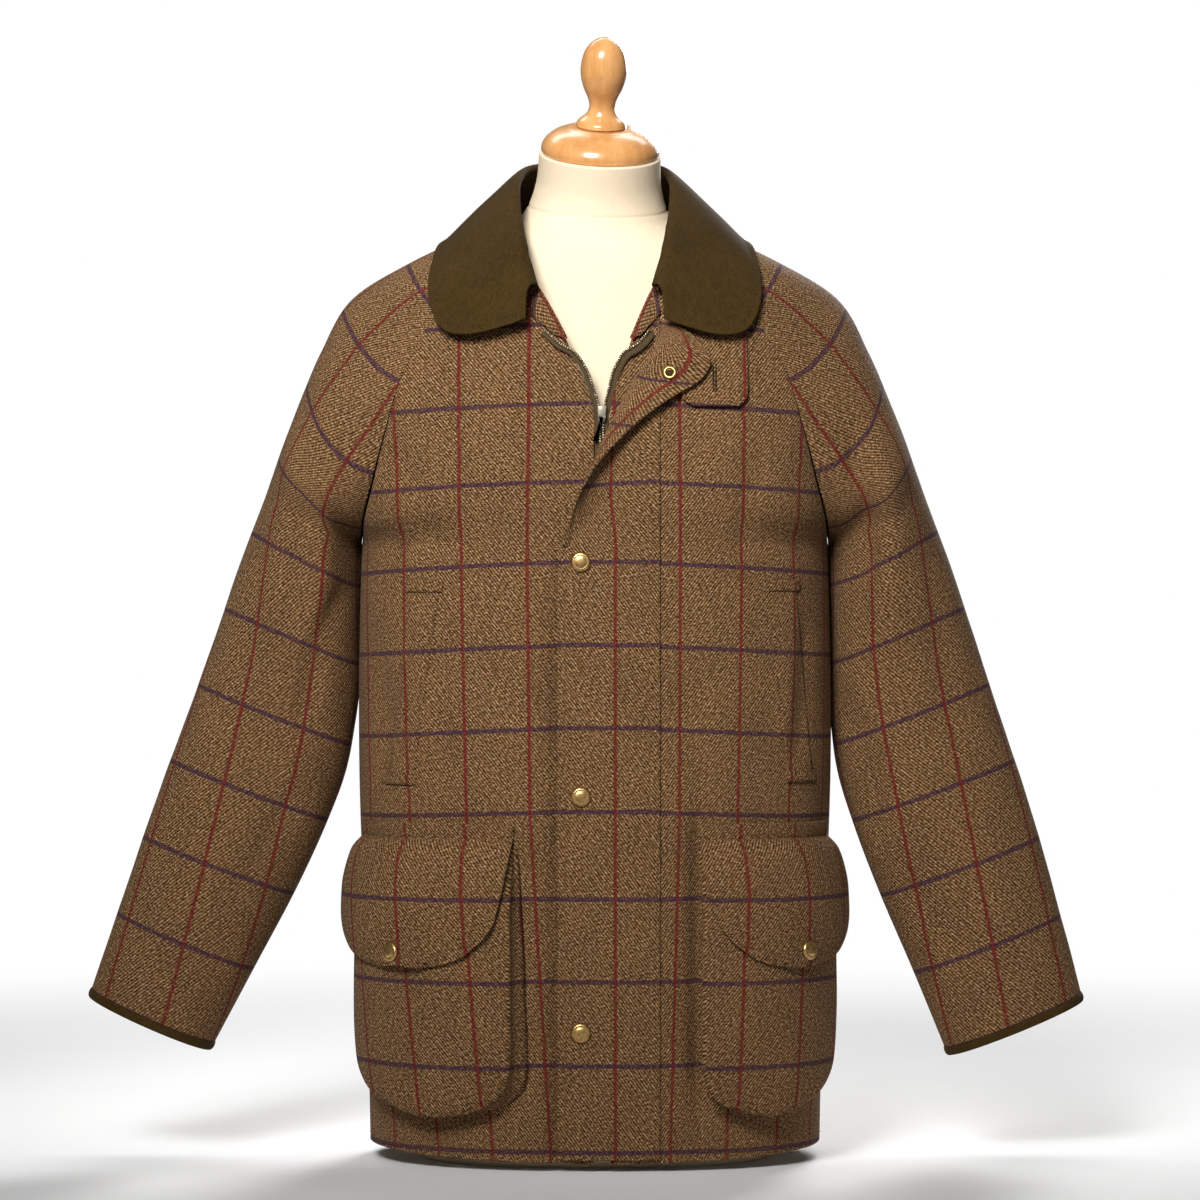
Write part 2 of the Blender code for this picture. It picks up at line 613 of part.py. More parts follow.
def make_binding(side):
    """The cuff's edge binding, a narrow ring that goes on from the sleeve's wall."""
    cols = spread(0, 1, SLEEVE_COLS)
    rows = [0.0, BINDING_ROWS - 0.004]
    normals = [[sleeve_normal(side, u, v) for u in cols] for v in rows]
    for lean in normals:
        lean[0] = (lean[0] + lean[-1]).normalized()
    grid = moved([[sleeve_point(side, u, v) for u in cols] for v in rows], normals, GAP)
    wall("cuff_binding_" + SIDE_NAME[side], grid, moved(grid, normals, -MOLESKIN), "moleskin", closed_rows=1)


def on_front(side, x, z):
    """The place (u, v) on a front panel that lies at a given x and z."""
    u, v = 0.5, PIT * 0.5
    for _ in range(7):
        low, high = 0.0, float(TOP)
        for _ in range(16):
            v = (low + high) / 2
            if front_point(side, u, v).z < z:
                low = v
            else:
                high = v
        low, high = 0.0, 1.0
        for _ in range(14):
            u = (low + high) / 2
            if side * front_point(side, u, v).x < side * x:
                low = u
            else:
                high = u
    return u, v


def panel_at(side, x, z):
    u, v = on_front(side, x, z)
    return front_point(side, u, v), front_normal(side, u, v)


def skin_tree(skins):
    """Search tree over the outer faces of finished walls, used to lay the next piece clear of them."""
    points, faces = [], []
    for grid, flip in skins:
        width = len(grid[0])
        base = len(points)
        points += [p for row in grid for p in row]
        for j in range(len(grid) - 1):
            for i in range(width - 1):
                a = base + j * width + i
                quad = [a, a + 1, a + 1 + width, a + width]
                faces.append(quad if flip > 0 else quad[::-1])
    return BVHTree.FromPolygons(points, faces)


def lay_clear(grid, tree, gap):
    """Lift the points that lie closer to the walls below than gap, outwards along the wall's own face."""
    for row in grid:
        for i, p in enumerate(row):
            hit, lean, _, _ = tree.find_nearest(p)
            height = (p - hit).dot(lean)
            if height < gap:
                row[i] = p + lean * (gap - height)


def neck_loop():
    """Half of the neck seam, on the right, from the front edge to the centre back."""
    line = [front_point(RIGHT, u, TOP) for u in spread(0, 1, 8)]
    line += [sleeve_point(RIGHT, u, NECK) for u in spread(0, 1, 16)[1:]]
    line += [back_point(u, TOP) for u in spread(-1, 0, 12)[1:]]
    return line


def along(line, place):
    lengths = [(b - a).length for a, b in zip(line, line[1:])]
    left = place * sum(lengths)
    for a, b, length in zip(line, line[1:], lengths):
        if left <= length:
            return a.lerp(b, left / length)
        left -= length
    return line[-1].copy()


def collar_point(line, u, v):
    """u runs from the right front end at -1 to the left one at 1, v from the neck seam over the fold to the edge."""
    r = smooth(COLLAR, (1 - abs(u)) * (len(COLLAR) - 1))
    fold = Vector((-r.fold_x, r.fold_y, r.fold_z))
    edge = Vector((-r.edge_x, r.edge_y, r.edge_z))
    sewn = along(line, min(max(r.place, 0), 1)) + Vector((0, 0, 3 * GAP))
    loose = fold + Vector((-0.001, 0.003, -0.003))
    seam = loose.lerp(sewn, min(max(r.stand, 0), 1))
    outward = edge - fold
    outward.z = 0
    outward.normalize()
    if v < 0.35:
        t = v / 0.35
        rise = (fold.z - seam.z) * 0.5
        p = bezier(seam, seam + Vector((0, 0, rise)), fold - outward * FOLD_ROUND * 0.6, fold, t)
    else:
        t = (v - 0.35) / 0.65
        swell = Vector((outward.x, outward.y, 1)).normalized() * FALL_SWELL
        p = bezier(fold, fold + outward * FOLD_ROUND, fold.lerp(edge, 0.6) + swell, edge, t)
    return p if u <= 0 else Vector((-p.x, p.y, p.z))


def make_collar(tree):
    line = neck_loop()
    cols = spread(-1, 1, COLLAR_COLS)
    rows = [0, 0.18, 0.30, 0.37, 0.46, 0.60, 0.80, 1.0][:COLLAR_ROWS]
    grid = [[collar_point(line, u, v) for u in cols] for v in rows]
    lay_clear(grid[3:], tree, COLLAR_CLEAR)
    normals = grid_normals(grid, 1)
    wall("collar", grid, moved(grid, normals, MOLESKIN), "moleskin")


def grid_normals(grid, flip):
    """Unit normals of a grid from its own neighbours."""
    rows, cols = len(grid), len(grid[0])
    normals = []
    for j in range(rows):
        lean = []
        for i in range(cols):
            across = grid[j][min(i + 1, cols - 1)] - grid[j][max(i - 1, 0)]
            upward = grid[min(j + 1, rows - 1)][i] - grid[max(j - 1, 0)][i]
            lean.append(across.cross(upward).normalized() * flip)
        normals.append(lean)
    return normals


def turned_out(side, table, steps):
    """Points of a turned-out line, each with the front edge's point that it turns from."""
    line = []
    for r in [smooth(table, k) for k in spread(0, len(table) - 1, steps)]:
        roll = front_point(side, 0, PIT + r.place)
        line.append((roll, roll + Vector((side * r.out, -r.lift, -r.drop))))
    return line


def make_facing(side):
    grid = []
    for roll, free in turned_out(side, FACING, 8):
        start = roll - Vector((0, 3 * GAP, 0))
        grid.append([start, start.lerp(free, 0.5) - Vector((0, 2 * GAP, 0)), free])
    normals = grid_normals(grid, side)
    face = moved(grid, normals, TAPE)
    wall("facing_" + SIDE_NAME[side], grid, face, "tweed")
    return face, side


def make_zip(side):
    """Tape and chain of one half: flush beside the front edge, then out along the facing's free edge."""
    grid = []
    for z in spread(ZIP_BOTTOM, ZIP_CLOSED, 8):
        edge = front_point(side, 0, on_front(side, ZIP_X + side * EDGE_FROM_ZIP, z)[1])
        inner = Vector((ZIP_X + side * GAP, edge.y + GAP, edge.z))
        outer = Vector((edge.x - side * 2 * GAP, edge.y + GAP, edge.z))
        grid.append([inner, inner.lerp(outer, 0.5), outer])
    line = [point for _, point in turned_out(side, CHAIN, 9)]
    for i, start in enumerate(line):
        run = line[min(i + 1, len(line) - 1)] - line[max(i - 1, 0)]
        out = Vector((run.z, 0, -run.x)).normalized() * side
        grid.append([start, start + out * CHAIN_WIDTH * 0.5, start + out * CHAIN_WIDTH])
    normals = grid_normals(grid, side)
    wall("zip_" + SIDE_NAME[side], grid, moved(grid, normals, -TAPE), "antique_metal")


def front_y(x, z):
    side = LEFT if x > ZIP_X else RIGHT
    u, v = on_front(side, x, z)
    return front_point(side, u, v).y


def fly_point(u, v):
    """u runs from the sewn edge at 0 to the free edge at 1, v is the row of FLY."""
    r = smooth(FLY, v)
    sewn = Vector((FLY_X, front_y(FLY_X, r.z) - 3 * GAP, r.z))
    free = Vector((r.edge_x, front_y(r.edge_x, r.edge_z) - 3 * GAP - max(r.lift, 0), r.edge_z))
    turn = math.radians(min(max(r.turn, 0), 180))
    heading = Vector((-math.cos(turn), -math.sin(turn), 0))
    first = sewn - Vector((r.reach, 0, (sewn.z - free.z) * 0.33))
    second = free - heading * r.edge_reach + Vector((0, 0, (sewn.z - free.z) * 0.33))
    return bezier(sewn, first, second, free, u)


def make_fly():
    cols = spread(0, 1, FLY_COLS)
    rows = spread(0, 2, 5)[:-1] + spread(2, len(FLY) - 1, FLY_ROWS - 5)
    grid = [[fly_point(u, v) for u in cols] for v in rows]
    for row in grid:
        for p in row:
            p.y = min(p.y, front_y(p.x, p.z) - 3 * GAP)
    normals = grid_normals(grid, -1)
    wall("storm_fly", grid, moved(grid, normals, TWEED), "tweed")
    return grid, normals


def patch_point(side, table, place, f, shift=0.0, swell=0.0):
    """A point of a patch: the panel's own point, moved out. f runs from the edge near the zip to the far edge."""
    r = smooth(table, place)
    p, n = panel_at(side, side * lerp(r.near + shift, r.far, f), r.z)
    off = lerp(r.near_off, r.far_off, f) + swell * math.sin(math.pi * f)
    return p + n * max(off, GAP)


def patch_grid(side, table, row_steps, col_steps, shift=0.0, swell=0.0):
    rows = spread(0, len(table) - 1, row_steps)
    cols = spread(0, 1, col_steps)
    return [[patch_point(side, table, place, f, shift, swell) for f in cols] for place in rows]


def make_patch(name, grid, side):
    normals = grid_normals(grid, -side)
    wall(name, grid, moved(grid, normals, TWEED), "tweed")
    return grid, normals


def make_bag(side):
    """A bellows tray: the face, and a gusset round its sides and bottom that reaches the panel."""
    shift = LEFT_POCKET_SHIFT if side == LEFT else 0.0
    face = patch_grid(side, BAG, 9, 8, shift, BAG_SWELL)
    grid = []
    steps = len(face) - 1
    for j, row in enumerate(face):
        r = smooth(BAG, j * (len(BAG) - 1) / steps)
        low = GUSSET_DROP * (j / steps) ** 4
        near, near_lean = panel_at(side, side * (r.near + shift - GUSSET_NEAR * min(1, 0.3 + j / steps)), r.z - low)
        far, far_lean = panel_at(side, side * (r.far + GUSSET_FAR), r.z - low)
        grid.append([near + near_lean * GUSSET_OFF] + row + [far + far_lean * GUSSET_OFF])
    r = BAG[-1]
    base = []
    for x in spread(r.near + shift - GUSSET_NEAR, r.far + GUSSET_NEAR, 10):
        p, n = panel_at(side, side * x, r.z - 1.5 * GUSSET_DROP)
        base.append(p + n * GUSSET_OFF)
    grid.append(base)
    normals = grid_normals(grid, -side)
    wall("pocket_bag_" + SIDE_NAME[side], grid, moved(grid, normals, TWEED), "tweed")


def turned(profile, name, finish, place, segments):
    """Spin a profile of radius and height about its own axis, closed at both ends."""
    bm = bmesh.new()
    rings = []
    for r in profile:
        ring = []
        for i in range(segments):
            angle = 2 * math.pi * i / segments
            ring.append(bm.verts.new(place @ Vector((r.radius * math.cos(angle), r.radius * math.sin(angle), r.height))))
        rings.append(ring)
    for low, high in zip(rings, rings[1:]):
        for i in range(segments):
            k = (i + 1) % segments
            bm.faces.new((low[i], low[k], high[k], high[i]))
    bm.faces.new(rings[0][::-1])
    bm.faces.new(rings[-1])
    return add_object(name, bm, finish)


def facing_frame(point, normal):
    """A frame whose Z axis is the normal of the cloth that a snap is set on."""
    return Matrix.Translation(point) @ Vector((0, 0, 1)).rotation_difference(normal).to_matrix().to_4x4()


def seat_on(surface, a, b):
    """Point and unit normal of surface(a, b), from short steps."""
    step = 0.02
    across = surface(a, b + step) - surface(a, b - step)
    upward = surface(a + step, b) - surface(a - step, b)
    return surface(a, b), across.cross(upward).normalized()


def make_flap_snap(side):
    shift = LEFT_POCKET_SHIFT if side == LEFT else 0.0
    point, normal = seat_on(lambda a, b: patch_point(side, FLAP, a, b, shift, BAG_SWELL), *FLAP_SNAP[side])
    normal *= -side
    make_snap("snap_flap_" + SIDE_NAME[side], point + normal * TWEED, normal)


def make_snap(name, point, normal):
    dome = [Turned(SNAP_RADIUS * 0.94, 0), Turned(SNAP_RADIUS, 0.25 * SNAP_HEIGHT),
            Turned(SNAP_RADIUS * 0.93, 0.62 * SNAP_HEIGHT), Turned(SNAP_RADIUS * 0.55, SNAP_HEIGHT)]
    turned(dome, name, "antique_brass", facing_frame(point + normal * SNAP_SEAT, normal), SNAP_SEGMENTS)


def make_socket(point, normal):
    """A ring on the turned-back face of the storm fly."""
    place = facing_frame(point + normal * SNAP_SEAT, normal)
    section = [Turned(SOCKET_HOLE, 0), Turned(SOCKET_RADIUS, 0), Turned(SOCKET_RADIUS * 0.88, SOCKET_HEIGHT),
               Turned(SOCKET_HOLE * 1.3, SOCKET_HEIGHT)]
    bm = bmesh.new()
    rings = []
    for i in range(SNAP_SEGMENTS):
        angle = 2 * math.pi * i / SNAP_SEGMENTS
        rings.append([bm.verts.new(place @ Vector((s.radius * math.cos(angle), s.radius * math.sin(angle), s.height)))
                      for s in section])
    for i, ring in enumerate(rings):
        after = rings[(i + 1) % SNAP_SEGMENTS]
        for a in range(len(section)):
            b = (a + 1) % len(section)
            bm.faces.new((ring[a], ring[b], after[b], after[a]))
    add_object("snap_socket", bm, "antique_brass")


def box(name, finish, place, size, bevel, origin=None):
    bm = bmesh.new()
    bmesh.ops.create_cube(bm, size=1.0, matrix=place @ Matrix.Diagonal((*size, 1)))
    bmesh.ops.bevel(bm, geom=bm.edges[:], offset=bevel, segments=1, profile=0.5, affect="EDGES")
    return add_object(name, bm, finish, origin)


def make_slider():
    """Slider on the closed end of the chain, with the pull tab hanging from it on a hinge."""
    z = front_point(RIGHT, 0, PIT + ZIP_TOP_PLACE).z - SLIDER.z * 0.5
    front = front_y(ZIP_X, z)
    middle = Vector((ZIP_X, front - GAP - SLIDER.y * 0.5, z))
    box("zip_slider", "antique_metal", Matrix.Translation(middle), SLIDER, 0.0008)
    hinge = Vector((ZIP_X, front - SLIDER.y - PULL_OUT, z - PULL_DROP))
    lean = Matrix.Rotation(-PULL_LEAN, 4, "Y")
    hang = Matrix.Translation(hinge) @ lean.inverted()
    place = hang @ Matrix.Translation((0, 0, -PULL_LENGTH * 0.5 + PULL_EYE))
    box("zip_pull", "antique_metal", place, (PULL_WIDTH, PULL_THICK, PULL_LENGTH), 0.0004, hinge)


def make_form():
    bm = bmesh.new()
    rings = []
    for place in spread(0, len(FORM) - 1, FORM_ROWS):
        r = smooth(FORM, place)
        middle = (r.front + r.back) / 2
        shift = NECK_X * min(max((r.z - NECK_START_Z) / (FORM[-1].z - NECK_START_Z), 0), 1)
        ring = []
        for i in range(FORM_SEGMENTS):
            angle = 2 * math.pi * i / FORM_SEGMENTS
            c, s = math.cos(angle), math.sin(angle)
            power = lerp(2 / FORM_SQUARE, 1, min(max(r.tilt, 0), 1))
            x = math.copysign(abs(c) ** power, c) * r.half_width
            y = math.copysign(abs(s) ** power, s) * (r.back - r.front) / 2
            z = max(r.z, 0) + (y * math.tan(NECK_TILT) - x * math.tan(NECK_ROLL)) * max(r.tilt, 0)
            ring.append(bm.verts.new((x + shift, y + middle, z)))
        rings.append(ring)
    for low, high in zip(rings, rings[1:]):
        for i in range(FORM_SEGMENTS):
            k = (i + 1) % FORM_SEGMENTS
            bm.faces.new((low[i], low[k], high[k], high[i]))
    bm.faces.new(rings[0][::-1])
    bm.faces.new(rings[-1])
    add_object("form_body", bm, "form_cloth")


def make_turnery():
    top = FORM[-1]
    seat = Vector((NECK_X, (top.front + top.back) / 2, top.z))
    lean = Matrix.Rotation(NECK_ROLL, 4, "Y") @ Matrix.Rotation(NECK_TILT, 4, "X")
    place = Matrix.Translation(seat) @ lean @ Matrix.Translation((0, 0, 2 * GAP))
    turned(CAP, "neck_cap", "wood", place, TURNED_SEGMENTS)
    turned(FINIAL, "finial", "wood", place, TURNED_SEGMENTS)


skins = []
for side in (RIGHT, LEFT):
    skins.append(make_front(side))
    skins.append(make_sleeve(side))
    make_binding(side)
skins.append(make_back())
for side in (RIGHT, LEFT):
    skins.append(make_facing(side))
    make_zip(side)
make_collar(skin_tree(skins))
make_fly()
make_patch("throat_tab", patch_grid(LEFT, TAB, 6, 5), LEFT)
for side in (RIGHT, LEFT):
    name = SIDE_NAME[side]
    shift = LEFT_POCKET_SHIFT if side == LEFT else 0.0
    make_patch("welt_" + name, patch_grid(side, WELT[side], 6, 3), side)
    make_bag(side)
    make_patch("pocket_flap_" + name, patch_grid(side, FLAP, 9, 8, shift, BAG_SWELL), side)
    make_flap_snap(side)
for i, z in enumerate(FLY_SNAP_Z):
    face = Vector((FLY_SNAP_X, front_y(FLY_SNAP_X, z) - 3 * GAP - TWEED, z))
    make_snap("snap_fly_%d" % (i + 1), face, Vector((0, -1, 0)))
make_socket(*seat_on(lambda a, b: fly_point(b, a), SOCKET_PLACE[1], SOCKET_PLACE[0]))
make_slider()
make_form()
make_turnery()
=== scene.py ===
import math
from collections import namedtuple

import bmesh
import bpy
from mathutils import Matrix, Vector, noise
from mathutils.bvhtree import BVHTree
from mathutils.interpolate import poly_3d_calc


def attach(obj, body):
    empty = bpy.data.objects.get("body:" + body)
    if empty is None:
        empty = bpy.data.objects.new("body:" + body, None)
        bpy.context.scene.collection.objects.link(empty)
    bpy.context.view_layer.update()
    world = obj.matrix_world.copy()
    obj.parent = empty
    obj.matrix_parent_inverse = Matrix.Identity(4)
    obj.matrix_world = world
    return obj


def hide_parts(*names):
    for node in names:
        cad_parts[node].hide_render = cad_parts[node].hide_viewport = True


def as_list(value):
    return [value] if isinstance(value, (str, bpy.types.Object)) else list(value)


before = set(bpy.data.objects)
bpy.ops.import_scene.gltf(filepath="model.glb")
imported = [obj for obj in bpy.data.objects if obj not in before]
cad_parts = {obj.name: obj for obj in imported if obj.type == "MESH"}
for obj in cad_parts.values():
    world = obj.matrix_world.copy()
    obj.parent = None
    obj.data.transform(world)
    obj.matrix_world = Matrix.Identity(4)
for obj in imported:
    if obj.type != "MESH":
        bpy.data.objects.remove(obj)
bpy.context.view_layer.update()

print("frame loaded:", len(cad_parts), "nodes")

right, left = -1, 1  # the wearer's sides, right lies at -X
sideName = {right: "right", left: "left"}
thick = {"tweed": 0.0022, "moleskin": 0.0024, "tape": 0.0016}
gap = 0.0003   # between sewn pieces
laid = 0.0007  # under what lies on a panel
zipX = 0.006
edgeFromZip = 0.0065

# body of the coat, from the hem to below the armpit
bodyRow = namedtuple("bodyRow", "zFront zSide halfWidth front back")
body = {
    "rows": [
        bodyRow(0.006, 0.014, 0.1955, -0.128, 0.126),
        bodyRow(0.060, 0.066, 0.1965, -0.130, 0.127),
        bodyRow(0.150, 0.153, 0.1990, -0.132, 0.126),
        bodyRow(0.250, 0.250, 0.2025, -0.132, 0.123),
        bodyRow(0.330, 0.330, 0.2050, -0.130, 0.120),
        bodyRow(0.410, 0.408, 0.2055, -0.129, 0.120),
        bodyRow(0.475, 0.472, 0.2045, -0.129, 0.123),
    ],
    "sideY": 0.006, "frontSquare": 0.68, "sideSquare": 0.62, "leftOpen": 0.78,
}

# centre-front edge above the armpit, then the roll of the open neck
edgeRow = namedtuple("edgeRow", "fromZip y z out back rise")
frontEdge = [
    edgeRow(edgeFromZip, -0.1280, 0.530, 0.130, 0.000, 0.000),
    edgeRow(edgeFromZip, -0.1275, 0.566, 0.125, 0.000, 0.000),
    edgeRow(edgeFromZip, -0.1265, 0.605, 0.112, 0.000, 0.000),
    edgeRow(0.0075, -0.1240, 0.646, 0.100, 0.000, 0.000),
    edgeRow(0.0254, -0.1175, 0.692, 0.080, 0.000, 0.004),
    edgeRow(0.0450, -0.1080, 0.733, 0.050, 0.004, 0.008),
    edgeRow(0.0660, -0.0980, 0.766, 0.008, 0.007, 0.007),
]

# raglan seams, armpit to neck: how a panel arrives, then how the sleeve leaves
seamRow = namedtuple("seamRow", "out y z panelOut panelBack panelRise panelReach "
                                "sleeveOut sleeveBack sleeveRise sleeveReach")
frontSeam = [
    seamRow(0.2030, 0.010, 0.530, 0.00, 1.00, 0.00, 0.085, 0.20, -0.98, 0.00, 0.108),
    seamRow(0.1990, -0.052, 0.550, 0.35, 0.93, 0.00, 0.070, 0.75, -0.60, 0.20, 0.080),
    seamRow(0.1900, -0.080, 0.582, 0.60, 0.80, 0.00, 0.055, 0.95, -0.15, 0.25, 0.060),
    seamRow(0.1780, -0.096, 0.627, 0.80, 0.60, 0.00, 0.045, 0.90, 0.20, 0.30, 0.050),
    seamRow(0.1620, -0.101, 0.678, 0.90, 0.43, 0.02, 0.040, 0.75, 0.55, 0.40, 0.046),
    seamRow(0.1320, -0.100, 0.727, 0.93, 0.30, 0.05, 0.032, 0.50, 0.62, 0.65, 0.046),
    seamRow(0.0800, -0.080, 0.785, 0.60, 0.55, 0.57, 0.010, 0.15, 0.92, 0.36, 0.032),
]
backSeam = [
    seamRow(0.2030, 0.010, 0.530, 0.00, -1.00, 0.00, 0.085, 0.20, 0.98, 0.00, 0.108),
    seamRow(0.1990, 0.062, 0.556, 0.35, -0.93, 0.00, 0.070, 0.75, 0.60, 0.20, 0.080),
    seamRow(0.1900, 0.088, 0.592, 0.60, -0.80, 0.00, 0.055, 0.95, 0.15, 0.25, 0.060),
    seamRow(0.1760, 0.102, 0.638, 0.80, -0.60, 0.00, 0.045, 0.90, -0.20, 0.30, 0.050),
    seamRow(0.1520, 0.107, 0.692, 0.90, -0.42, 0.05, 0.040, 0.75, -0.55, 0.42, 0.046),
    seamRow(0.1120, 0.100, 0.757, 0.90, -0.35, 0.10, 0.032, 0.50, -0.62, 0.62, 0.044),
    seamRow(0.0660, 0.058, 0.820, 0.85, -0.52, -0.05, 0.022, 0.25, -0.93, 0.05, 0.028),
]
spineRow = namedtuple("spineRow", "y z out")
centreBack = [
    spineRow(0.1270, 0.540, 0.130), spineRow(0.1285, 0.578, 0.125), spineRow(0.1290, 0.622, 0.115),
    spineRow(0.1275, 0.672, 0.100), spineRow(0.1210, 0.724, 0.085), spineRow(0.1060, 0.782, 0.060),
    spineRow(0.0840, 0.825, 0.032),
]

# sleeve tube from the cuff up, and its ridge over the shoulder
tubeRow = namedtuple("tubeRow", "inX inZ outX outZ halfDepth yMid")
ridgeRow = namedtuple("ridgeRow", "out y z reach")
sleeve = {
    "tube": [
        tubeRow(0.3340, 0.0915, 0.4394, 0.1384, 0.047, -0.004),
        tubeRow(0.2960, 0.1630, 0.4150, 0.2120, 0.049, 0.000),
        tubeRow(0.2605, 0.2300, 0.3920, 0.2800, 0.051, 0.004),
        tubeRow(0.2330, 0.2900, 0.3700, 0.3420, 0.054, 0.008),
        tubeRow(0.2150, 0.3420, 0.3510, 0.3950, 0.056, 0.012),
        tubeRow(0.2068, 0.4050, 0.3300, 0.4550, 0.063, 0.014),
        tubeRow(0.2062, 0.4680, 0.3090, 0.5150, 0.074, 0.013),
    ],
    "ridge": [
        ridgeRow(0.2865, 0.014, 0.5750, 0.108), ridgeRow(0.2700, 0.011, 0.6200, 0.098),
        ridgeRow(0.2523, 0.008, 0.6647, 0.084), ridgeRow(0.2375, 0.004, 0.6985, 0.070),
        ridgeRow(0.2120, 0.000, 0.7420, 0.056), ridgeRow(0.1600, -0.003, 0.7748, 0.050),
        ridgeRow(0.0880, -0.008, 0.8080, 0.034),
    ],
    "armpitClear": 0.0008, "swingIn": 0.024, "swingOut": 0.017, "drop": 0.004,
    "swingTop": 0.530, "swingLength": 0.410, "rest": 0.2062, "bindingRows": 0.10,
}


def bezier(a, b, c, d, t):
    s = 1.0 - t
    return a * (s * s * s) + b * (3 * s * s * t) + c * (3 * s * t * t) + d * (t * t * t)


def lerp(a, b, t):
    return a + (b - a) * t


def clamp(value, low=0.0, high=1.0):
    return min(max(value, low), high)


def ease(value):
    t = clamp(value)
    return t * t * (3 - 2 * t)


def spread(start, stop, count):
    return [lerp(start, stop, i / count) for i in range(count + 1)]


def nearest(values, want):
    return min(range(len(values)), key=lambda k: abs(values[k] - want))


def walked(line):  # lengths along a line of points
    total = [0.0]
    for a, b in zip(line, line[1:]):
        total.append(total[-1] + (b - a).length)
    return total


def tableAt(rows, place):  # values between the rows of a table, by its first column
    for low, high in zip(rows, rows[1:]):
        if place <= high[0]:
            break
    t = clamp((place - low[0]) / (high[0] - low[0]))
    return [lerp(a, b, t) for a, b in zip(low[1:], high[1:])]


def axesAt(point, *axes):
    made = Matrix(axes).transposed().to_4x4()
    made.translation = point
    return made


def smooth(rows, place):  # a curve through every row of a table
    last = len(rows) - 1
    i = min(max(int(math.floor(place)), 0), last - 1)
    t = place - i
    mid = list(zip(rows[i], rows[i + 1]))
    before = rows[i - 1] if i > 0 else [2 * a - b for a, b in mid]
    after = rows[i + 2] if i + 2 <= last else [2 * b - a for a, b in mid]
    values = []
    for p, (q, r), s in zip(before, mid, after):
        values.append(0.5 * (2 * q + (r - p) * t + (2 * p - 5 * q + 4 * r - s) * t * t
                             + (3 * q - p - 3 * r + s) * t * t * t))
    return type(rows[0])(*values)


rowCache = {}


def smoothApart(rows, split, place, joined):  # only the joined columns run on through the split row
    key = (id(rows), round(place, 7))
    if key not in rowCache:
        through = smooth(rows, place)
        half = smooth(rows[:split + 1], place) if place <= split else smooth(rows[split:], place - split)
        rowCache[key] = half._replace(**{name: getattr(through, name) for name in joined})
    return rowCache[key]


panelRow = namedtuple("panelRow", "cx cy cz out back rise sx sy sz toOut toBack toRise reach")
armRow = namedtuple("armRow", "fx fy fz fOut fBack fRise fReach tx ty tz tReach "
                              "bx by bz bOut bBack bRise bReach")
pit = len(body["rows"])
top = pit + len(frontSeam) - 1


def panelRows():
    front, back = [], []
    sideY = body["sideY"]
    for b in body["rows"]:
        out = body["frontSquare"] * b.halfWidth
        front.append(panelRow(edgeFromZip, b.front, b.zFront, out, 0, 0, b.halfWidth, sideY, b.zSide, 0, 1, 0,
                              body["sideSquare"] * (sideY - b.front)))
        back.append(panelRow(0, b.back, b.zSide, out, 0, 0, b.halfWidth, sideY, b.zSide, 0, -1, 0,
                             body["sideSquare"] * (b.back - sideY)))
    for e, c, f, k in zip(frontEdge, centreBack, frontSeam, backSeam):
        front.append(panelRow(e.fromZip, e.y, e.z, e.out, e.back, e.rise, f.out, f.y, f.z,
                              f.panelOut, f.panelBack, f.panelRise, f.panelReach))
        back.append(panelRow(0, c.y, c.z, c.out, 0, 0, k.out, k.y, k.z,
                             k.panelOut, k.panelBack, k.panelRise, k.panelReach))
    return front, back


def armRows():
    rows = []
    for t in sleeve["tube"]:
        reach = 4.0 / 3.0 * t.halfDepth
        rows.append(armRow(t.inX, t.yMid, t.inZ, 0, -1, 0, reach, t.outX, t.yMid, t.outZ, reach,
                           t.inX, t.yMid, t.inZ, 0, 1, 0, reach))
    for i, (f, r, b) in enumerate(zip(frontSeam, sleeve["ridge"], backSeam)):
        clear = sleeve["armpitClear"] if i == 0 else 0
        rows.append(armRow(f.out + clear, f.y, f.z, f.sleeveOut, f.sleeveBack, f.sleeveRise, f.sleeveReach,
                           r.out, r.y, r.z, r.reach,
                           b.out + clear, b.y, b.z, b.sleeveOut, b.sleeveBack, b.sleeveRise, b.sleeveReach))
    return rows


frontRows, backRows = panelRows()
sleeveRows = armRows()
ring = len(sleeve["tube"])
neck = ring + len(sleeve["ridge"]) - 1


def panelPoint(rows, centreX, side, u, v):
    r = smoothApart(rows, pit, v, ("cx", "cy", "cz", "out", "back", "rise"))
    opened = (r.cx - edgeFromZip) * (body["leftOpen"] if side == left else 1.0) if r.cx > edgeFromZip else 0.0
    start = Vector((centreX + side * (min(r.cx, edgeFromZip) + opened), r.cy, r.cz))
    end = Vector((side * r.sx, r.sy, r.sz))
    arrive = Vector((side * r.toOut, r.toBack, r.toRise)).normalized() * r.reach
    leave = Vector((side * r.out, r.back, r.rise + (r.sz - r.cz) * 0.33 if v < pit else r.rise))
    return bezier(start, start + leave, end - arrive, end, u)


def frontPoint(side, u, v):  # u: centre edge to side or raglan seam, v: hem to neck
    return panelPoint(frontRows, zipX, side, u, v)


def backPoint(u, v):  # u: right side seam at -1, centre back at 0, left side seam at 1
    return panelPoint(backRows, 0.0, left if u > 0 else right, abs(u), v)


def swing(side, point, amount):  # the left sleeve hangs closer and lower
    if side == right or point.z > sleeve["swingTop"]:
        return point
    share = ((sleeve["swingTop"] - point.z) / sleeve["swingLength"]) ** 2
    hung = point - Vector((amount * share, 0, sleeve["drop"] * share))
    hung.x = max(hung.x, sleeve["rest"] - 0.04 * max(0.0, point.z - 0.468))  # rests beside the body
    return hung


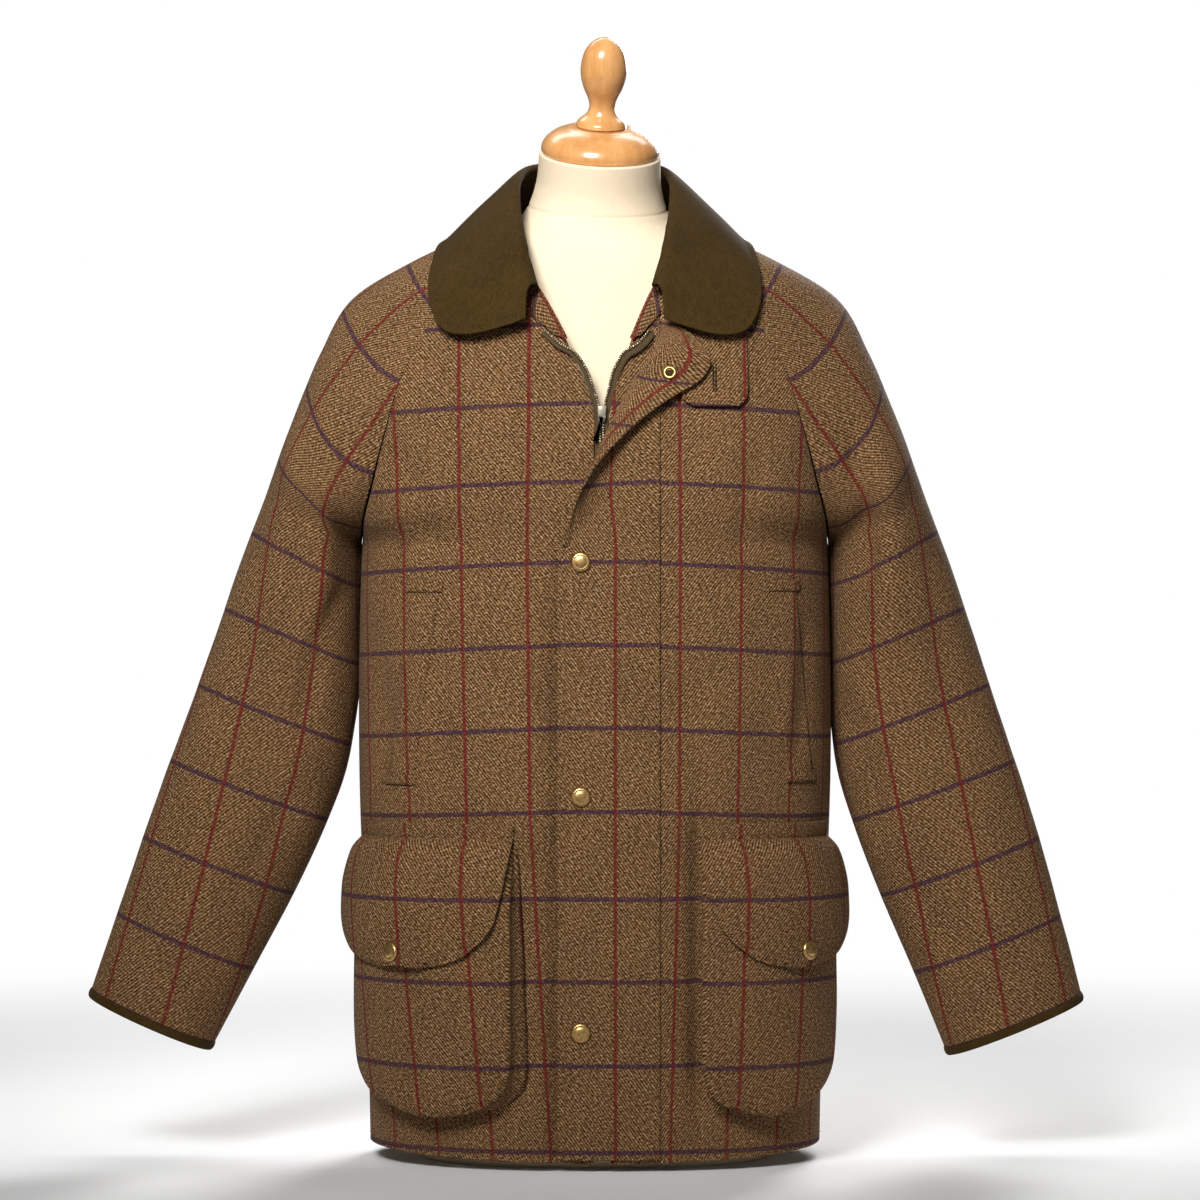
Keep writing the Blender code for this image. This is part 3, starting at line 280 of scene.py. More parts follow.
def sleevePoint(side, u, v):  # u: front seam or underarm, ridge at 0.5, back seam; v: cuff to neck
    r = smoothApart(sleeveRows, ring, v, ("tx", "ty", "tz", "tReach"))
    ridge = swing(side, Vector((side * r.tx, r.ty, r.tz)), sleeve["swingOut"])
    if u <= 0.5:
        end = swing(side, Vector((side * r.fx, r.fy, r.fz)), sleeve["swingIn"])
        leave = Vector((side * r.fOut, r.fBack, r.fRise)).normalized() * r.fReach
        return bezier(end, end + leave, ridge - Vector((0, r.tReach, 0)), ridge, u * 2)
    end = swing(side, Vector((side * r.bx, r.by, r.bz)), sleeve["swingIn"])
    leave = Vector((side * r.bOut, r.bBack, r.bRise)).normalized() * r.bReach
    return bezier(ridge, ridge + Vector((0, r.tReach, 0)), end + leave, end, u * 2 - 1)


def normalAt(surface, u, v, uRange, vRange, flip):
    stepU = 0.004 * (uRange[1] - uRange[0])
    u0, u1 = max(u - stepU, uRange[0]), min(u + stepU, uRange[1])
    v0, v1 = max(v - 0.02, vRange[0]), min(v + 0.02, vRange[1])
    across = surface(u1, v) - surface(u0, v)
    along = surface(u, v1) - surface(u, v0)
    return across.cross(along).normalized() * flip


def gridNormals(grid, flip):
    rows, cols = len(grid), len(grid[0])
    normals = []
    for j in range(rows):
        lean = []
        for i in range(cols):
            across = grid[j][min(i + 1, cols - 1)] - grid[j][max(i - 1, 0)]
            upward = grid[min(j + 1, rows - 1)][i] - grid[max(j - 1, 0)][i]
            lean.append(across.cross(upward).normalized() * flip)
        normals.append(lean)
    return normals


# soft troughs and ridges: depth along the cloth's normal, width, and a path of x and z
fold = namedtuple("fold", "depth width path")


def foldDepth(folds, x, z):
    total = 0.0
    for f in folds:
        best, place = 1e9, 0.0
        count = len(f.path) - 1
        for k in range(count):
            (ax, az), (bx, bz) = f.path[k], f.path[k + 1]
            dx, dz = bx - ax, bz - az
            t = clamp(((x - ax) * dx + (z - az) * dz) / (dx * dx + dz * dz))
            away = math.hypot(x - ax - dx * t, z - az - dz * t)
            if away < best:
                best, place = away, (k + t) / count
        if best < 3 * f.width:
            ends = ease(4 * place) * ease(4 * (1 - place))
            total += f.depth * ends * math.exp(-(best / f.width) ** 2)
    return total


def drift(p, amount):  # slow unevenness of hung cloth
    return amount * (noise.noise(Vector((p.x * 13, p.y * 13, p.z * 8))) + 0.4 * noise.noise(p * 31))


# grid lines: about one step apart, closer at both edges and beside each stitched line
def spaced(length, step, marks=()):
    places = set(spread(0, length, max(2, round(length / step))))
    places = {p for p in places if 0.0025 < p < length - 0.0025}
    places = {p for p in places if all(abs(p - m) > 0.0022 for m in marks)}
    places |= {0.0, 0.0012, length - 0.0012, length}
    for m in marks:
        places |= {m - 0.0013, m, m + 0.0013}
    return [p / length for p in sorted(places) if -1e-9 <= p <= length + 1e-9]


def groove(distance, mark):  # the dent that a row of stitches pulls
    return -0.0005 * math.exp(-((distance - mark) / 0.0014) ** 2)


def seamDent(away):  # the dip of the cloth beside a seam
    return -0.0009 * math.exp(-(away / 0.0035) ** 2)


def clothMesh(us, vs, place, chart, hint, closed=False):
    bm = bmesh.new()
    layer = bm.loops.layers.uv.new("cloth")
    nu, nv = len(us) - 1, len(vs) - 1
    bmesh.ops.create_grid(bm, x_segments=nu, y_segments=nv, size=1.0)
    spot = {}
    for vert in bm.verts:
        spot[vert] = (round((vert.co.x + 1) / 2 * nu), round((vert.co.y + 1) / 2 * nv))
    flat = {}
    for vert, (i, j) in spot.items():
        vert.co = place(us[i], vs[j])
        flat[(i, j)] = chart(us[i], vs[j], vert.co)
    for face in bm.faces:
        for loop in face.loops:
            loop[layer].uv = flat[spot[loop.vert]]
    if closed:
        bmesh.ops.remove_doubles(bm, verts=bm.verts[:], dist=2e-5)
    bm.normal_update()
    if sum(f.normal.dot(hint(f.calc_center_median())) for f in bm.faces) < 0:
        bmesh.ops.reverse_faces(bm, faces=bm.faces[:])
    return bm


def fromAxis(p):  # away from the middle of the body
    return Vector((p.x, p.y - 0.01, 0))


pieces, skins = {}, {}


def addPiece(name, bm, material, nodes=(), shell=0.0, outward=False, rides="coat"):
    bm.normal_update()
    skins[name] = (BVHTree.FromBMesh(bm), shell if outward else 0.0)  # the stitches find their height here
    mesh = bpy.data.meshes.new(name)
    bm.to_mesh(mesh)
    bm.free()
    mesh.shade_smooth()
    mesh.materials.append(material)
    made = bpy.data.objects.new(name, mesh)
    bpy.context.scene.collection.objects.link(made)
    if shell:
        wall = made.modifiers.new("wall", "SOLIDIFY")
        wall.thickness = shell
        wall.offset = 1.0 if outward else -1.0
        wall.use_quality_normals = True
    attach(made, rides)
    if nodes:
        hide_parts(*nodes)
    pieces[name] = made
    return made


# materials: small helpers, then one group for each effect
def newGroup(name, inputs, outputs):
    group = bpy.data.node_groups.new(name, "ShaderNodeTree")
    for way, sockets in (("INPUT", inputs), ("OUTPUT", outputs)):
        for label, kind in sockets.items():
            group.interface.new_socket(label, in_out=way, socket_type="NodeSocket" + kind)
    return group, group.nodes.new("NodeGroupInput"), group.nodes.new("NodeGroupOutput")


def maths(tree, how, a, b=None, c=None):
    node = tree.nodes.new("ShaderNodeMath")
    node.operation = how
    for i, value in enumerate((a, b, c)):
        if value is None:
            continue
        if isinstance(value, (int, float)):
            node.inputs[i].default_value = value
        else:
            tree.links.new(value, node.inputs[i])
    return node.outputs[0]


def between(tree, value, low, high):  # 0 below low, 1 above high
    node = tree.nodes.new("ShaderNodeMapRange")
    node.interpolation_type = "SMOOTHSTEP"
    tree.links.new(value, node.inputs["Value"])
    node.inputs["From Min"].default_value = low
    node.inputs["From Max"].default_value = high
    return node.outputs["Result"]


def blendColour(tree, amount, first, second, how="MIX"):
    node = tree.nodes.new("ShaderNodeMix")
    node.data_type = "RGBA"
    node.blend_type = how
    for socket, value in zip((node.inputs[0], node.inputs[6], node.inputs[7]), (amount, first, second)):
        if isinstance(value, (int, float)):
            socket.default_value = value
        elif isinstance(value, tuple):
            socket.default_value = (*value, 1.0)
        else:
            tree.links.new(value, socket)
    return node.outputs[2]


def stretched(tree, vector, scale, turn=0.0):
    node = tree.nodes.new("ShaderNodeMapping")
    node.inputs["Scale"].default_value = scale
    node.inputs["Rotation"].default_value = (0, 0, turn)
    tree.links.new(vector, node.inputs["Vector"])
    return node.outputs["Vector"]


def noiseOf(tree, vector, scale, detail=2.0, rough=0.5):
    node = tree.nodes.new("ShaderNodeTexNoise")
    tree.links.new(vector, node.inputs["Vector"])
    node.inputs["Scale"].default_value = scale
    node.inputs["Detail"].default_value = detail
    node.inputs["Roughness"].default_value = rough
    return node.outputs["Fac"]


def ramp(tree, value, stops):
    node = tree.nodes.new("ShaderNodeValToRGB")
    while len(node.color_ramp.elements) < len(stops):
        node.color_ramp.elements.new(0.5)
    for element, (place, colour) in zip(node.color_ramp.elements, stops):
        element.position = place
        element.color = (*colour, 1.0)
    tree.links.new(value, node.inputs["Fac"])
    return node.outputs["Color"]


tweedLook = {
    "pitchAcross": 60.0, "pitchAlong": 70.0,  # millimetres of cloth in one check
    "twill": 3.0, "twillSlope": 0.8,          # millimetres between the twill lines, and their lean
    "rib": 1.15,                              # millimetres between the crosswise ribs
    "redHalf": 1.6, "blueHalf": 1.9,          # half widths of the check lines in millimetres
    "red": (0.135, 0.006, 0.011), "blue": (0.032, 0.011, 0.040),
    "yarns": [
        (0.00, (0.014, 0.007, 0.003)), (0.25, (0.044, 0.022, 0.009)), (0.47, (0.118, 0.060, 0.024)),
        (0.62, (0.185, 0.094, 0.037)), (0.80, (0.275, 0.160, 0.074)), (1.00, (0.420, 0.290, 0.165)),
    ],
    "cloud": [(0.3, (0.90, 0.90, 0.91)), (0.7, (1.08, 1.07, 1.05))],  # slow change of tone
    "moss": (0.060, 0.048, 0.020), "rust": (0.250, 0.080, 0.018),
    "twillShare": 0.52, "fleckShare": 2.5,    # how much the twill and the flecks change the tone
}


def tweedGroup():
    look = tweedLook
    group, given, made = newGroup("tweed yarns", {"Cloth": "Vector"},
                                  {"Color": "Color", "Height": "Float", "Roughness": "Float"})
    cut = group.nodes.new("ShaderNodeSeparateXYZ")
    group.links.new(given.outputs["Cloth"], cut.inputs[0])
    across, along = cut.outputs["X"], cut.outputs["Y"]
    mm = group.nodes.new("ShaderNodeCombineXYZ")
    x = maths(group, "MULTIPLY", across, look["pitchAcross"])
    y = maths(group, "MULTIPLY", along, look["pitchAlong"])
    group.links.new(x, mm.inputs["X"])
    group.links.new(y, mm.inputs["Y"])
    cloth = mm.outputs["Vector"]
    wander = maths(group, "MULTIPLY", noiseOf(group, cloth, 0.35), 0.9)
    slant = maths(group, "SUBTRACT", x, maths(group, "MULTIPLY", y, look["twillSlope"]))
    phase = maths(group, "ADD", slant, wander)
    turn = maths(group, "SINE", maths(group, "MULTIPLY", phase, 2 * math.pi / look["twill"]))
    twill = maths(group, "MULTIPLY_ADD", turn, 0.5, 0.5)
    step = maths(group, "SINE", maths(group, "MULTIPLY", y, 2 * math.pi / look["rib"]))
    rib = maths(group, "MULTIPLY_ADD", step, 0.5, 0.5)
    fleck = noiseOf(group, stretched(group, cloth, (0.75, 1.35, 1), 0.5), 0.46, 3.0, 0.65)
    middle = 0.5 - 0.5 * (look["fleckShare"] + look["twillShare"])
    spots = maths(group, "MULTIPLY_ADD", fleck, look["fleckShare"], middle)
    lift = maths(group, "MULTIPLY_ADD", twill, look["twillShare"], spots)
    colour = ramp(group, lift, look["yarns"])
    moss = between(group, noiseOf(group, stretched(group, cloth, (1.0, 0.62, 1), -0.4), 0.40), 0.55, 0.63)
    colour = blendColour(group, maths(group, "MULTIPLY", moss, 0.42), colour, look["moss"])
    rust = between(group, noiseOf(group, stretched(group, cloth, (0.8, 1.3, 1), 0.7), 0.55), 0.60, 0.66)
    colour = blendColour(group, maths(group, "MULTIPLY", rust, 0.40), colour, look["rust"])
    slow = noiseOf(group, cloth, 0.022, 3.0)
    colour = blendColour(group, 1.0, colour, ramp(group, slow, look["cloud"]), "MULTIPLY")
    # check lines, broken by the twill
    lines = []
    for value, pitch, half, low in ((across, look["pitchAcross"], look["redHalf"], 0.16),
                                    (along, look["pitchAlong"], look["blueHalf"], 0.22)):
        away = maths(group, "ABSOLUTE", maths(group, "SUBTRACT", value, maths(group, "ROUND", value)))
        mask = between(group, maths(group, "MULTIPLY", away, pitch), half + 0.45, half - 0.45)
        dash = maths(group, "MULTIPLY_ADD", between(group, twill, 0.20, 0.60), 1 - low, low)
        lines.append(maths(group, "MULTIPLY", mask, dash))
    colour = blendColour(group, maths(group, "MULTIPLY", lines[1], 0.88), colour, look["blue"])
    colour = blendColour(group, maths(group, "MULTIPLY", lines[0], 0.92), colour, look["red"])
    group.links.new(colour, made.inputs["Color"])
    fuzz = noiseOf(group, cloth, 1.7, 2.0)
    height = maths(group, "MULTIPLY_ADD", twill, 0.55, maths(group, "MULTIPLY_ADD", rib, 0.18, fuzz))
    group.links.new(height, made.inputs["Height"])
    group.links.new(maths(group, "MULTIPLY_ADD", fuzz, -0.12, 0.95), made.inputs["Roughness"])
    return group


def napGroup():  # brushed nap for the collar, the bindings and the form's cover
    group, given, made = newGroup("brushed nap", {"Place": "Vector", "Dark": "Color", "Light": "Color"},
                                  {"Color": "Color", "Height": "Float"})
    place = given.outputs["Place"]
    fine = noiseOf(group, place, 900, 3.0, 0.7)
    brushed = noiseOf(group, stretched(group, place, (1, 1, 0.3), 0.4), 260, 2.0)
    slow = maths(group, "MULTIPLY", noiseOf(group, place, 16, 3.0), 0.16)
    mixed = maths(group, "MULTIPLY_ADD", fine, 0.66, maths(group, "MULTIPLY_ADD", brushed, 0.18, slow))
    amount = between(group, mixed, 0.33, 0.67)
    colour = blendColour(group, amount, given.outputs["Dark"], given.outputs["Light"])
    group.links.new(colour, made.inputs["Color"])
    group.links.new(mixed, made.inputs["Height"])
    return group


def metalGroup():  # worn metal: rubbed and dull in random patches
    group, given, made = newGroup("rubbed metal", {"Place": "Vector", "Deep": "Color", "Rubbed": "Color"},
                                  {"Color": "Color", "Roughness": "Float"})
    place = given.outputs["Place"]
    dull = maths(group, "MULTIPLY", noiseOf(group, place, 420, 4.0, 0.6), 0.65)
    scratch = noiseOf(group, stretched(group, place, (1, 1, 0.12), 0.6), 2600, 2.0)
    amount = between(group, maths(group, "MULTIPLY_ADD", scratch, 0.35, dull), 0.36, 0.60)
    colour = blendColour(group, amount, given.outputs["Deep"], given.outputs["Rubbed"])
    group.links.new(colour, made.inputs["Color"])
    group.links.new(maths(group, "MULTIPLY_ADD", amount, -0.16, 0.46), made.inputs["Roughness"])
    return group


def newMaterial(name, **constants):
    made = bpy.data.materials.new(name)
    made.use_nodes = True
    shader = made.node_tree.nodes["Principled BSDF"]
    for label, value in constants.items():
        shader.inputs[label.replace("_", " ")].default_value = value
    return made, made.node_tree, shader


def bumped(tree, shader, height, distance, strength):
    node = tree.nodes.new("ShaderNodeBump")
    node.inputs["Distance"].default_value = distance
    node.inputs["Strength"].default_value = strength
    tree.links.new(height, node.inputs["Height"])
    tree.links.new(node.outputs["Normal"], shader.inputs["Normal"])


def groupNode(tree, group):
    node = tree.nodes.new("ShaderNodeGroup")
    node.node_tree = group
    return node


tweedYarns, brushedNap, rubbedMetal = tweedGroup(), napGroup(), metalGroup()


def clothMaterial():
    made, tree, shader = newMaterial("tweed", Sheen_Weight=0.02, Sheen_Roughness=0.5, Specular_IOR_Level=0.06)
    uv = tree.nodes.new("ShaderNodeUVMap")
    uv.uv_map = "cloth"
    yarns = groupNode(tree, tweedYarns)
    tree.links.new(uv.outputs["UV"], yarns.inputs["Cloth"])
    tree.links.new(yarns.outputs["Color"], shader.inputs["Base Color"])
    tree.links.new(yarns.outputs["Roughness"], shader.inputs["Roughness"])
    bumped(tree, shader, yarns.outputs["Height"], 0.0006, 0.45)
    return made


def napMaterial(name, dark, light, bump, **constants):
    made, tree, shader = newMaterial(name, **constants)
    place = tree.nodes.new("ShaderNodeTexCoord")
    nap = groupNode(tree, brushedNap)
    tree.links.new(place.outputs["Object"], nap.inputs["Place"])
    nap.inputs["Dark"].default_value = (*dark, 1)
    nap.inputs["Light"].default_value = (*light, 1)
    tree.links.new(nap.outputs["Color"], shader.inputs["Base Color"])
    bumped(tree, shader, nap.outputs["Height"], bump, 0.5)
    return made


def metalMaterial(name, deep, rubbed, metallic=1.0):
    made, tree, shader = newMaterial(name, Metallic=metallic)
    place = tree.nodes.new("ShaderNodeTexCoord")
    worn = groupNode(tree, rubbedMetal)
    tree.links.new(place.outputs["Object"], worn.inputs["Place"])
    worn.inputs["Deep"].default_value = (*deep, 1)
    worn.inputs["Rubbed"].default_value = (*rubbed, 1)
    tree.links.new(worn.outputs["Color"], shader.inputs["Base Color"])
    tree.links.new(worn.outputs["Roughness"], shader.inputs["Roughness"])
    return made


def woodMaterial():
    made, tree, shader = newMaterial("beech", Coat_Weight=0.55, Coat_Roughness=0.12, Specular_IOR_Level=0.45)
    place = tree.nodes.new("ShaderNodeTexCoord")
    long = stretched(tree, place.outputs["Object"], (1, 1, 0.14))
    rings = noiseOf(tree, long, 46, 4.0, 0.55)
    grain = noiseOf(tree, stretched(tree, place.outputs["Object"], (1, 1, 0.05)), 520, 3.0, 0.6)
    pores = noiseOf(tree, stretched(tree, place.outputs["Object"], (1, 1, 0.16)), 900)
    pores = between(tree, pores, 0.62, 0.72)
    colour = ramp(tree, rings, [(0.28, (0.50, 0.218, 0.064)), (0.50, (0.64, 0.308, 0.102)),
                                (0.72, (0.75, 0.405, 0.158))])
    shade = ramp(tree, grain, [(0.3, (0.90, 0.88, 0.84)), (0.7, (1.05, 1.05, 1.05))])
    colour = blendColour(tree, 1.0, colour, shade, "MULTIPLY")
    colour = blendColour(tree, maths(tree, "MULTIPLY", pores, 0.35), colour, (0.34, 0.13, 0.035))
    tree.links.new(colour, shader.inputs["Base Color"])
    tree.links.new(maths(tree, "MULTIPLY_ADD", grain, 0.18, 0.22), shader.inputs["Roughness"])
    bumped(tree, shader, grain, 0.0002, 0.12)
    return made


finish = {
    "tweed": clothMaterial(),
    "moleskin": napMaterial("moleskin", (0.026, 0.0150, 0.0036), (0.060, 0.0350, 0.0100), 0.0002,
                            Roughness=0.95, Specular_IOR_Level=0.04, Sheen_Weight=0.02, Sheen_Roughness=0.5),
    "cover": napMaterial("form cover", (0.745, 0.610, 0.430), (0.800, 0.670, 0.490), 0.0001,
                         Roughness=0.78, Specular_IOR_Level=0.2),
    "thread": napMaterial("thread", (0.060, 0.032, 0.014), (0.150, 0.088, 0.040), 0.0002,
                          Roughness=0.85, Specular_IOR_Level=0.1),
    # dark thread, also used as painted shade in the snap socket's hole
    "darkThreadAndShade": napMaterial("dark thread and painted shade", (0.020, 0.014, 0.008), (0.055, 0.038, 0.018), 0.0002,
                              Roughness=0.9, Specular_IOR_Level=0.1),
    "tape": napMaterial("zip tape", (0.050, 0.032, 0.015), (0.095, 0.062, 0.031), 0.0003,
                        Roughness=0.9, Specular_IOR_Level=0.1),
    "brass": metalMaterial("antique brass", (0.30, 0.165, 0.050), (0.68, 0.440, 0.175)),
    "zipTeeth": metalMaterial("dark zip metal", (0.070, 0.050, 0.030), (0.46, 0.370, 0.250)),
    "nickel": metalMaterial("worn nickel", (0.15, 0.125, 0.095), (0.36, 0.310, 0.245), 0.5),
    "beech": woodMaterial(),
}
print("materials:", len(finish))


# how the check lies on the body: heights of the crosswise lines at the centre, and for each front a height,
# the distance of the first lengthwise line from the zip edge, and the cloth between two lines
check = {
    "heights": [0.0164, 0.0896, 0.1604, 0.2300, 0.3035, 0.3740, 0.4440, 0.5140, 0.5820, 0.6480],
    "droop": 0.0085,
    "above": 0.068, "below": 0.0715,  # crosswise pitch past the last and the first line
    right: [(0.020, 0.0374, 0.0495), (0.301, 0.0542, 0.0550),
            (0.515, 0.0568, 0.0575), (0.660, 0.0551, 0.0600)],
    left: [(0.020, 0.0515, 0.0490), (0.301, 0.0591, 0.0510),
           (0.515, 0.0599, 0.0540), (0.660, 0.0591, 0.0555)],
}
frontCloth = {
    "step": 0.0042, "drift": 0.0005, "hemStitch": 0.006, "width": 0.27, "ends": (0.001, 0.9985),
    right: [
        fold(-0.0185, 0.015, [(-0.0215, 0.580), (-0.0207, 0.347), (-0.0205, 0.200), (-0.0205, -0.160)]),
        fold(-0.0026, 0.008, [(-0.1300, 0.482), (-0.1307, 0.398), (-0.1256, 0.322)]),
        fold(0.0018, 0.007, [(-0.1440, 0.490), (-0.1433, 0.400), (-0.1400, 0.340)]),
        fold(-0.0028, 0.010, [(-0.1710, 0.625), (-0.1475, 0.566), (-0.1374, 0.516)]),
        fold(-0.0034, 0.010, [(-0.1880, 0.470), (-0.1780, 0.364), (-0.1810, 0.300)]),
        fold(-0.0022, 0.012, [(-0.0843, 0.480), (-0.0801, 0.381), (-0.0818, 0.305)]),
        fold(0.0020, 0.020, [(-0.0750, 0.690), (-0.0800, 0.620), (-0.0780, 0.540)]),
    ],
    left: [
        fold(-0.0020, 0.011, [(0.0885, 0.460), (0.0900, 0.364), (0.0868, 0.300)]),
        fold(-0.0034, 0.008, [(0.1810, 0.490), (0.1780, 0.398), (0.1700, 0.335)]),
        fold(0.0019, 0.007, [(0.1690, 0.480), (0.1640, 0.400), (0.1620, 0.350)]),
        fold(-0.0026, 0.011, [(0.1475, 0.625), (0.1290, 0.566), (0.1240, 0.507)]),
        fold(-0.0085, 0.009, [(0.0900, 0.345), (0.0890, 0.250), (0.0885, 0.120), (0.0900, -0.010)]),
        fold(0.0012, 0.018, [(0.1080, 0.640), (0.1060, 0.560), (0.1050, 0.480)]),
    ],
}
backFolds = [
    fold(-0.0022, 0.016, [(-0.085, 0.640), (-0.098, 0.490), (-0.090, 0.340)]),
    fold(-0.0020, 0.017, [(0.092, 0.620), (0.101, 0.470), (0.088, 0.300)]),
    fold(-0.0014, 0.018, [(0.004, 0.520), (-0.006, 0.390), (0.006, 0.240)]),
    fold(-0.0024, 0.011, [(-0.176, 0.560), (-0.148, 0.500), (-0.122, 0.460)]),
    fold(-0.0021, 0.012, [(0.178, 0.555), (0.150, 0.490), (0.130, 0.430)]),
    fold(-0.0013, 0.013, [(-0.052, 0.290), (-0.058, 0.190), (-0.050, 0.080)]),
    fold(-0.0015, 0.013, [(0.060, 0.260), (0.052, 0.160), (0.058, 0.050)]),
    fold(0.0012, 0.022, [(0.040, 0.660), (0.045, 0.560), (0.040, 0.470)]),
]


def heightCount(x, z):
    lines = check["heights"]
    z += check["droop"] * (abs(x) / 0.19) ** 1.5 * ease((z - 0.22) / 0.12)
    if z <= lines[0]:
        return (z - lines[0]) / check["below"]
    for i in range(len(lines) - 1):
        if z < lines[i + 1]:
            return i + (z - lines[i]) / (lines[i + 1] - lines[i])
    return len(lines) - 1 + (z - lines[-1]) / check["above"]


arcCache, arcSteps = {}, 36


def arcTo(key, curve, u, start, stop):  # length of a curve from start to u
    if key not in arcCache:
        arcCache[key] = walked([curve(t) for t in spread(start, stop, arcSteps)])
    total = arcCache[key]
    place = clamp((u - start) / (stop - start)) * arcSteps
    i = min(int(place), arcSteps - 1)
    return lerp(total[i], total[i + 1], place - i)


def frontChart(side, u, v, p):
    arc = arcTo(("front", side, round(v, 6)), lambda t: frontPoint(side, t, v), u, 0, 1)
    arc += side * (frontPoint(side, 0, v).x - zipX) - edgeFromZip
    first, pitch = tableAt(check[side], p.z)
    return Vector(((arc - first) / pitch, heightCount(p.x, p.z)))


def evenRows(surface, start, stop, step, keep=()):  # v values about one step apart along the cloth
    count = 160
    total = walked([surface(v) for v in spread(start, stop, count)])
    places = []
    for f in spaced(total[-1], step):
        want = f * total[-1]
        i = next((k for k in range(count) if total[k + 1] >= want), count - 1)
        part = (want - total[i]) / max(total[i + 1] - total[i], 1e-9)
        places.append(lerp(start, stop, (i + part) / count))
    for value in keep:
        places[nearest(places, value)] = value
    return places


panels = {}


def rememberPanel(key, bm):  # lets the pockets, welts, tab and fly lie on a panel
    layer = bm.loops.layers.uv["cloth"]
    bm.verts.index_update()
    points = [v.co.copy() for v in bm.verts]
    leans = [v.normal.copy() for v in bm.verts]
    flats = {loop.vert.index: loop[layer].uv.copy() for face in bm.faces for loop in face.loops}
    faces = [[v.index for v in face.verts] for face in bm.faces]
    panels[key] = {"points": points, "leans": leans, "flats": flats, "faces": faces,
                   "tree": BVHTree.FromPolygons(points, faces)}


def panelAt(key, x, z):
    panel = panels[key]
    hit, _, index, _ = panel["tree"].ray_cast(Vector((x, -1.0, z)), Vector((0, 1, 0)))
    if hit is None:
        hit, _, index, _ = panel["tree"].find_nearest(Vector((x, -0.10, z)))
    corners = panel["faces"][index]
    weights = poly_3d_calc([panel["points"][k] for k in corners], hit)
    lean, flat = Vector((0, 0, 0)), Vector((0, 0))
    for k, w in zip(corners, weights):
        lean += panel["leans"][k] * w
        flat += panel["flats"][k] * w
    return hit, lean.normalized(), flat


def flatOf(side):  # the panel without its folds
    return "flat" + sideName[side]


def plainY(x, z):
    tree = panels[flatOf(left if x > zipX else right)]["tree"]
    hit, _, _, _ = tree.ray_cast(Vector((x, -1.0, z)), Vector((0, 1, 0)))
    if hit is None:
        hit, _, _, _ = tree.find_nearest(Vector((x, -0.12, z)))
    return hit.y


def makeFront(side):
    look, hem = frontCloth, body["rows"][0]
    rows = evenRows(lambda v: frontPoint(side, 0.5, v), 0, top, look["step"], keep=(pit,))

    def place(u, v):
        u = lerp(*look["ends"], u)
        p = frontPoint(side, u, v)
        n = normalAt(lambda a, b: frontPoint(side, a, b), u, v, (0, 1), (0, top), side)
        if n.dot(fromAxis(p)) < 0:
            n = -n
        fade = ease(u / 0.10) * ease((1 - u) / 0.12) * ease((top - v) / 1.2)
        slow = look["drift"] * ease((abs(p.x - zipX) - 0.055) / 0.03)
        relief = (foldDepth(look[side], p.x, p.z) + drift(p, slow)) * fade
        relief += seamDent((1 - u) * 0.26) + groove(p.z - lerp(hem.zFront, hem.zSide, u), look["hemStitch"])
        return p + n * relief

    us = spaced(look["width"], look["step"])
    bm = clothMesh(us, rows, place, lambda u, v, p: frontChart(side, lerp(*look["ends"], u), v, p), fromAxis)
    rememberPanel(side, bm)
    plain = clothMesh(spread(0, 1, 44), spread(0, top, 130), lambda u, v: frontPoint(side, u, v),
                      lambda u, v, p: frontChart(side, u, v, p), fromAxis)
    rememberPanel(flatOf(side), plain)
    plain.free()
    name = "front_" + sideName[side]
    addPiece(name, bm, finish["tweed"], [name], thick["tweed"])


def makeBack():
    step, hem, end = 0.0046, body["rows"][0], frontCloth["ends"][1]
    rows = evenRows(lambda v: backPoint(0.5, v), 0, top, step, keep=(pit,))

    def place(u, v):
        u = lerp(-end, end, u)
        p = backPoint(u, v)
        n = normalAt(backPoint, u, v, (-1, 1), (0, top), 1)
        if n.dot(fromAxis(p)) < 0:
            n = -n
        fade = ease((1 - abs(u)) / 0.12) * ease((top - v) / 1.2)
        relief = (foldDepth(backFolds, p.x, p.z) + drift(p, 0.0006)) * fade
        relief += seamDent((1 - abs(u)) * 0.26) + groove(p.z - hem.zSide, frontCloth["hemStitch"])
        return p + n * relief

    def chart(u, v, p):
        arc = arcTo(("back", round(v, 6)), lambda t: backPoint(t, v), u * 2 - 1, -1, 1)
        whole = arcTo(("back", round(v, 6)), None, 1, -1, 1)
        return Vector(((arc - whole / 2) / 0.060 + 0.5, heightCount(p.x, p.z)))

    bm = clothMesh(spaced(2 * frontCloth["width"], step), rows, place, chart, fromAxis)
    addPiece("back", bm, finish["tweed"], ["back"], thick["tweed"])


for side in (right, left):
    makeFront(side)
makeBack()
print("body panels done")


